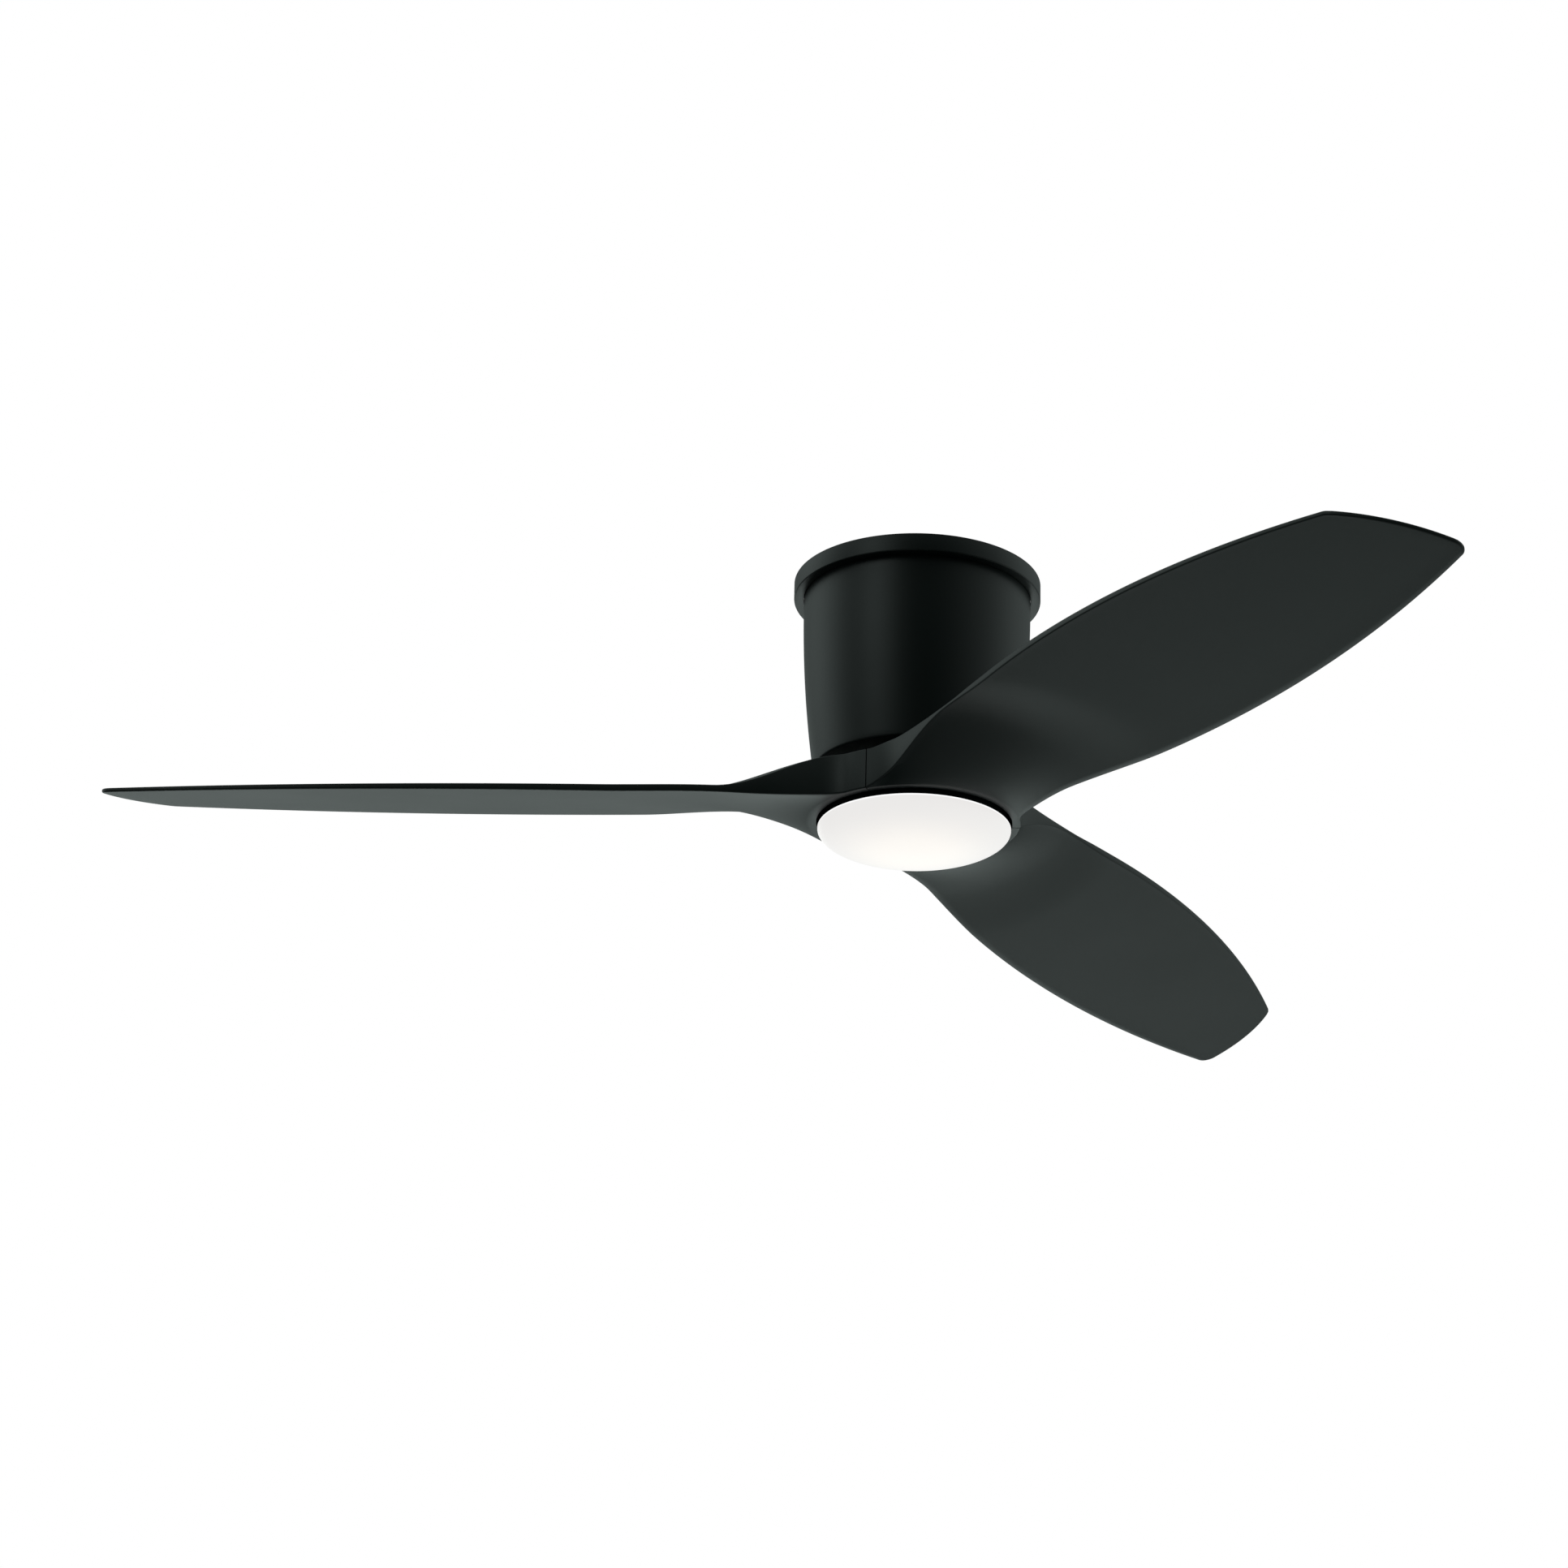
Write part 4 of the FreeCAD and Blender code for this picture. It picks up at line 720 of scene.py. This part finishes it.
def board(name, dark, light, tracks):
    """A circuit board: solder mask with copper tracks showing faintly through it."""
    shade = Shade(bpy.data.materials.new(name))
    lanes = (shade.axis("x") * (2 * math.pi / (3.2 * MM))).wave()
    bends = shade.noise(90.0, 1.0)
    track = (lanes + (bends - 0.5) * 3).between(0.55, 0.7)
    color = shade.blend(track * tracks, dark, light)
    return shade.finish(Base_Color=color, Roughness=0.34 + shade.noise(500.0) * 0.12,
                        Normal=shade.bump(track, 0.00004))


def ribbed_orange():
    """Twist-on wire connector: upright grip ribs."""
    shade = Shade(bpy.data.materials.new("orange_plastic"))
    x = shade.axis("x")
    y = shade.axis("y")
    ribs = ((x + y) * (2 * math.pi / (1.6 * MM))).wave() * 0.5 + 0.5
    uneven = ribs * 0.5 + shade.noise(60.0) * 0.5
    color = shade.blend(uneven, (0.62, 0.19, 0.02), (0.92, 0.36, 0.06))
    return shade.finish(Base_Color=color, Roughness=0.30 + ribs * 0.08,
                        Normal=shade.bump(ribs, 0.0003))


def make_finishes():
    """One finish for each material slot of the record."""
    return {
        "black_metal": moulded_black(
            "black_powder_coat", (0.002, 0.0066, 0.0056), (0.004, 0.0098, 0.0088),
            0.40, 1500.0, 0.00003),
        "black_blade": moulded_black(
            "satin_black_blade", (0.003, 0.0085, 0.0072), (0.006, 0.0125, 0.0112),
            0.44, 2200.0, 0.00003),
        "black_plastic": moulded_black(
            "matte_black_ring", (0.003, 0.006, 0.0055), (0.006, 0.009, 0.0085),
            0.55, 1800.0, 0.00004),
        "opal_lens": opal(),
        "zinc_steel": zinc(),
        "screw_steel": metal("screw_steel", (0.36, 0.37, 0.40), (0.58, 0.58, 0.56), 0.30, 260.0),
        "machined_steel": metal(
            "machined_steel", (0.50, 0.51, 0.53), (0.70, 0.70, 0.70), 0.22, 90.0,
            stretch=(1, 1, 16), height=0.00001),
        "cast_aluminium": metal(
            "cast_aluminium", (0.52, 0.53, 0.54), (0.72, 0.72, 0.72), 0.46, 480.0,
            height=0.00015),
        "lamination_steel": laminated(),
        "copper_wire": wound(),
        "ferrite": moulded(
            "ferrite", (0.045, 0.045, 0.05), (0.09, 0.09, 0.092), 0.62,
            grain=1400.0, height=0.00008),
        "cage_plastic": moulded("cage_plastic", (0.60, 0.54, 0.38), (0.74, 0.69, 0.54), 0.42),
        "white_plastic": moulded("white_plastic", (0.76, 0.76, 0.73), (0.86, 0.86, 0.84), 0.40),
        "orange_plastic": ribbed_orange(),
        "board_white": board("board_white", (0.84, 0.84, 0.81), (0.70, 0.71, 0.66), 0.6),
        "board_green": board("board_green", (0.015, 0.10, 0.04), (0.04, 0.24, 0.11), 0.8),
        "component_black": moulded(
            "component_black", (0.025, 0.025, 0.03), (0.05, 0.05, 0.055), 0.34),
        "led_yellow": moulded("led_yellow", (0.85, 0.62, 0.10), (0.95, 0.80, 0.25), 0.30),
        "wire_insulation": moulded(
            "wire_insulation", (0.030, 0.030, 0.032), (0.055, 0.055, 0.058), 0.48,
            grain=1200.0, height=0.00006),
    }


def dress_cad_nodes(finishes):
    """Give every CAD node that stays the finish of its slot."""
    for part in frame["record"]["subparts"]:
        item = frame["nodes"][part["node"]]
        slots = item.material_slots
        if not slots:
            item.data.materials.append(finishes[part["material_slot"]])
        for slot in slots:
            slot.material = finishes[part["material_slot"]]


# ---------------------------------------------------------------- studio

# The camera's distance and the height that it stands off from are in metres, its angles in
# radians and its lens in millimetres.
CAMERA_REACH = 3.33078
CAMERA_TILT = 0.402411
CAMERA_AIM = -0.115
CAMERA_YAW = -0.032537
CAMERA_PITCH = -0.018300
CAMERA_ROLL = 0.0264865
CAMERA_LENS = 92.2
FLOOR_HEIGHT = -5.4
FLOOR_RADIUS = 9.0
FLOOR_FADE = (2.0, 8.5)


def make_camera():
    """Below the fan and looking up at it, with the fan a little off the middle of the view."""
    ahead = Vector((0, math.cos(CAMERA_TILT), math.sin(CAMERA_TILT)))
    side = Vector((1, 0, 0))
    above = side.cross(ahead)
    look = (ahead + side * math.tan(CAMERA_YAW) + above * math.tan(CAMERA_PITCH)).normalized()
    right = look.cross(Vector((0, 0, 1))).normalized()
    up = right.cross(look)
    spin = Matrix.Rotation(-CAMERA_ROLL, 3, look)
    right = spin @ right
    up = spin @ up
    data = bpy.data.cameras.new("view")
    data.sensor_width = 36.0
    data.lens = CAMERA_LENS
    data.clip_end = 100.0
    camera = bpy.data.objects.new("view", data)
    bpy.context.scene.collection.objects.link(camera)
    turn = Matrix((right, up, -look)).transposed().to_4x4()
    place = Vector((0, 0, CAMERA_AIM)) - ahead * CAMERA_REACH
    camera.matrix_world = Matrix.Translation(place) @ turn
    bpy.context.scene.camera = camera


def make_floor():
    """A plain pale floor, far below. It fades to white outward and leaves the fan's light alone."""
    form = bmesh.new()
    lathe(form, [(radius, FLOOR_HEIGHT) for radius in (0, FLOOR_RADIUS / 2, FLOOR_RADIUS)], 96)
    bmesh.ops.remove_doubles(form, verts=form.verts, dist=0.0001)
    mesh = bpy.data.meshes.new("floor")
    form.to_mesh(mesh)
    form.free()
    shade = Shade(bpy.data.materials.new("pale_floor"))
    x = shade.axis("x")
    y = shade.axis("y")
    outward = ((x * x + y * y) ** 0.5).between(*FLOOR_FADE)
    pale = shade.blend(shade.noise(0.8), (0.70, 0.70, 0.70), (0.74, 0.74, 0.74))
    tone = shade.blend(outward, pale, (1.0, 1.0, 1.0))
    mesh.materials.append(shade.finish(Base_Color=(0.2, 0.2, 0.2, 1.0), Roughness=0.9,
                                       Emission_Color=tone, Emission_Strength=1.0))
    floor = bpy.data.objects.new("floor", mesh)
    bpy.context.scene.collection.objects.link(floor)
    floor.visible_diffuse = False
    floor.visible_glossy = False
    floor.visible_shadow = False


# Soft lights far away: the direction they come from, how bright each is and how narrow.
SOFT_LIGHTS = [
    ((-0.85, 0.26, 0.38), 0.82, 8.0),
    ((-0.61, -0.68, 0.39), 1.40, 36.0),
    ((0.88, 0.26, 0.38), 0.50, 5.0),
    ((0.74, -0.55, 0.39), 0.13, 14.0),
    ((0.05, 0.97, 0.20), 0.12, 7.0),
    ((-0.38, 0.92, 0.08), 2.60, 80.0),
    ((0.0, 0.95, -0.26), 2.00, 66.0),
    ((0.62, 0.62, -0.48), 0.52, 9.0),
    ((0.10, 0.10, -1.0), 0.18, 2.5),
    ((0.0, 0.1, 1.0), 0.60, 4.0)]
SHADE_LIGHT = 0.03
SOFT_COLOR = (0.87, 1.0, 0.97, 1.0)
WHITE = (1.0, 1.0, 1.0, 1.0)


def make_sky():
    """White behind the fan, and soft lights all round that fade into each other."""
    world = bpy.data.worlds.new("studio")
    bpy.context.scene.world = world
    shade = Shade(world, "Generated")
    glow = SHADE_LIGHT
    for direction, power, narrow in SOFT_LIGHTS:
        sockets = {0: shade.place, 1: Vector(direction).normalized()}
        toward = shade.node("ShaderNodeVectorMath", {"operation": "DOT_PRODUCT"}, sockets, "Value")
        glow = glow + toward.math("MAXIMUM", toward, 0.0) ** narrow * power
    soft = shade.node("ShaderNodeBackground", {}, {"Color": SOFT_COLOR, "Strength": glow})
    white = shade.node("ShaderNodeBackground", {}, {"Color": WHITE, "Strength": 1.0})
    seen = shade.node("ShaderNodeLightPath", output="Is Camera Ray")
    mixed = shade.node("ShaderNodeMixShader", {}, {0: seen, 1: soft, 2: white})
    shade.node("ShaderNodeOutputWorld", {}, {0: mixed})


def make_studio():
    make_camera()
    make_floor()
    make_sky()
    bpy.context.scene.view_settings.view_transform = "Standard"


# ---------------------------------------------------------------- the fan

finishes = make_finishes()
dress_cad_nodes(finishes)
make_blades(finishes["black_blade"])
make_drum(finishes["black_metal"])
make_ring(finishes["black_metal"])
make_lens(finishes["opal_lens"])
make_lens_ring(finishes["black_plastic"])
make_studio()
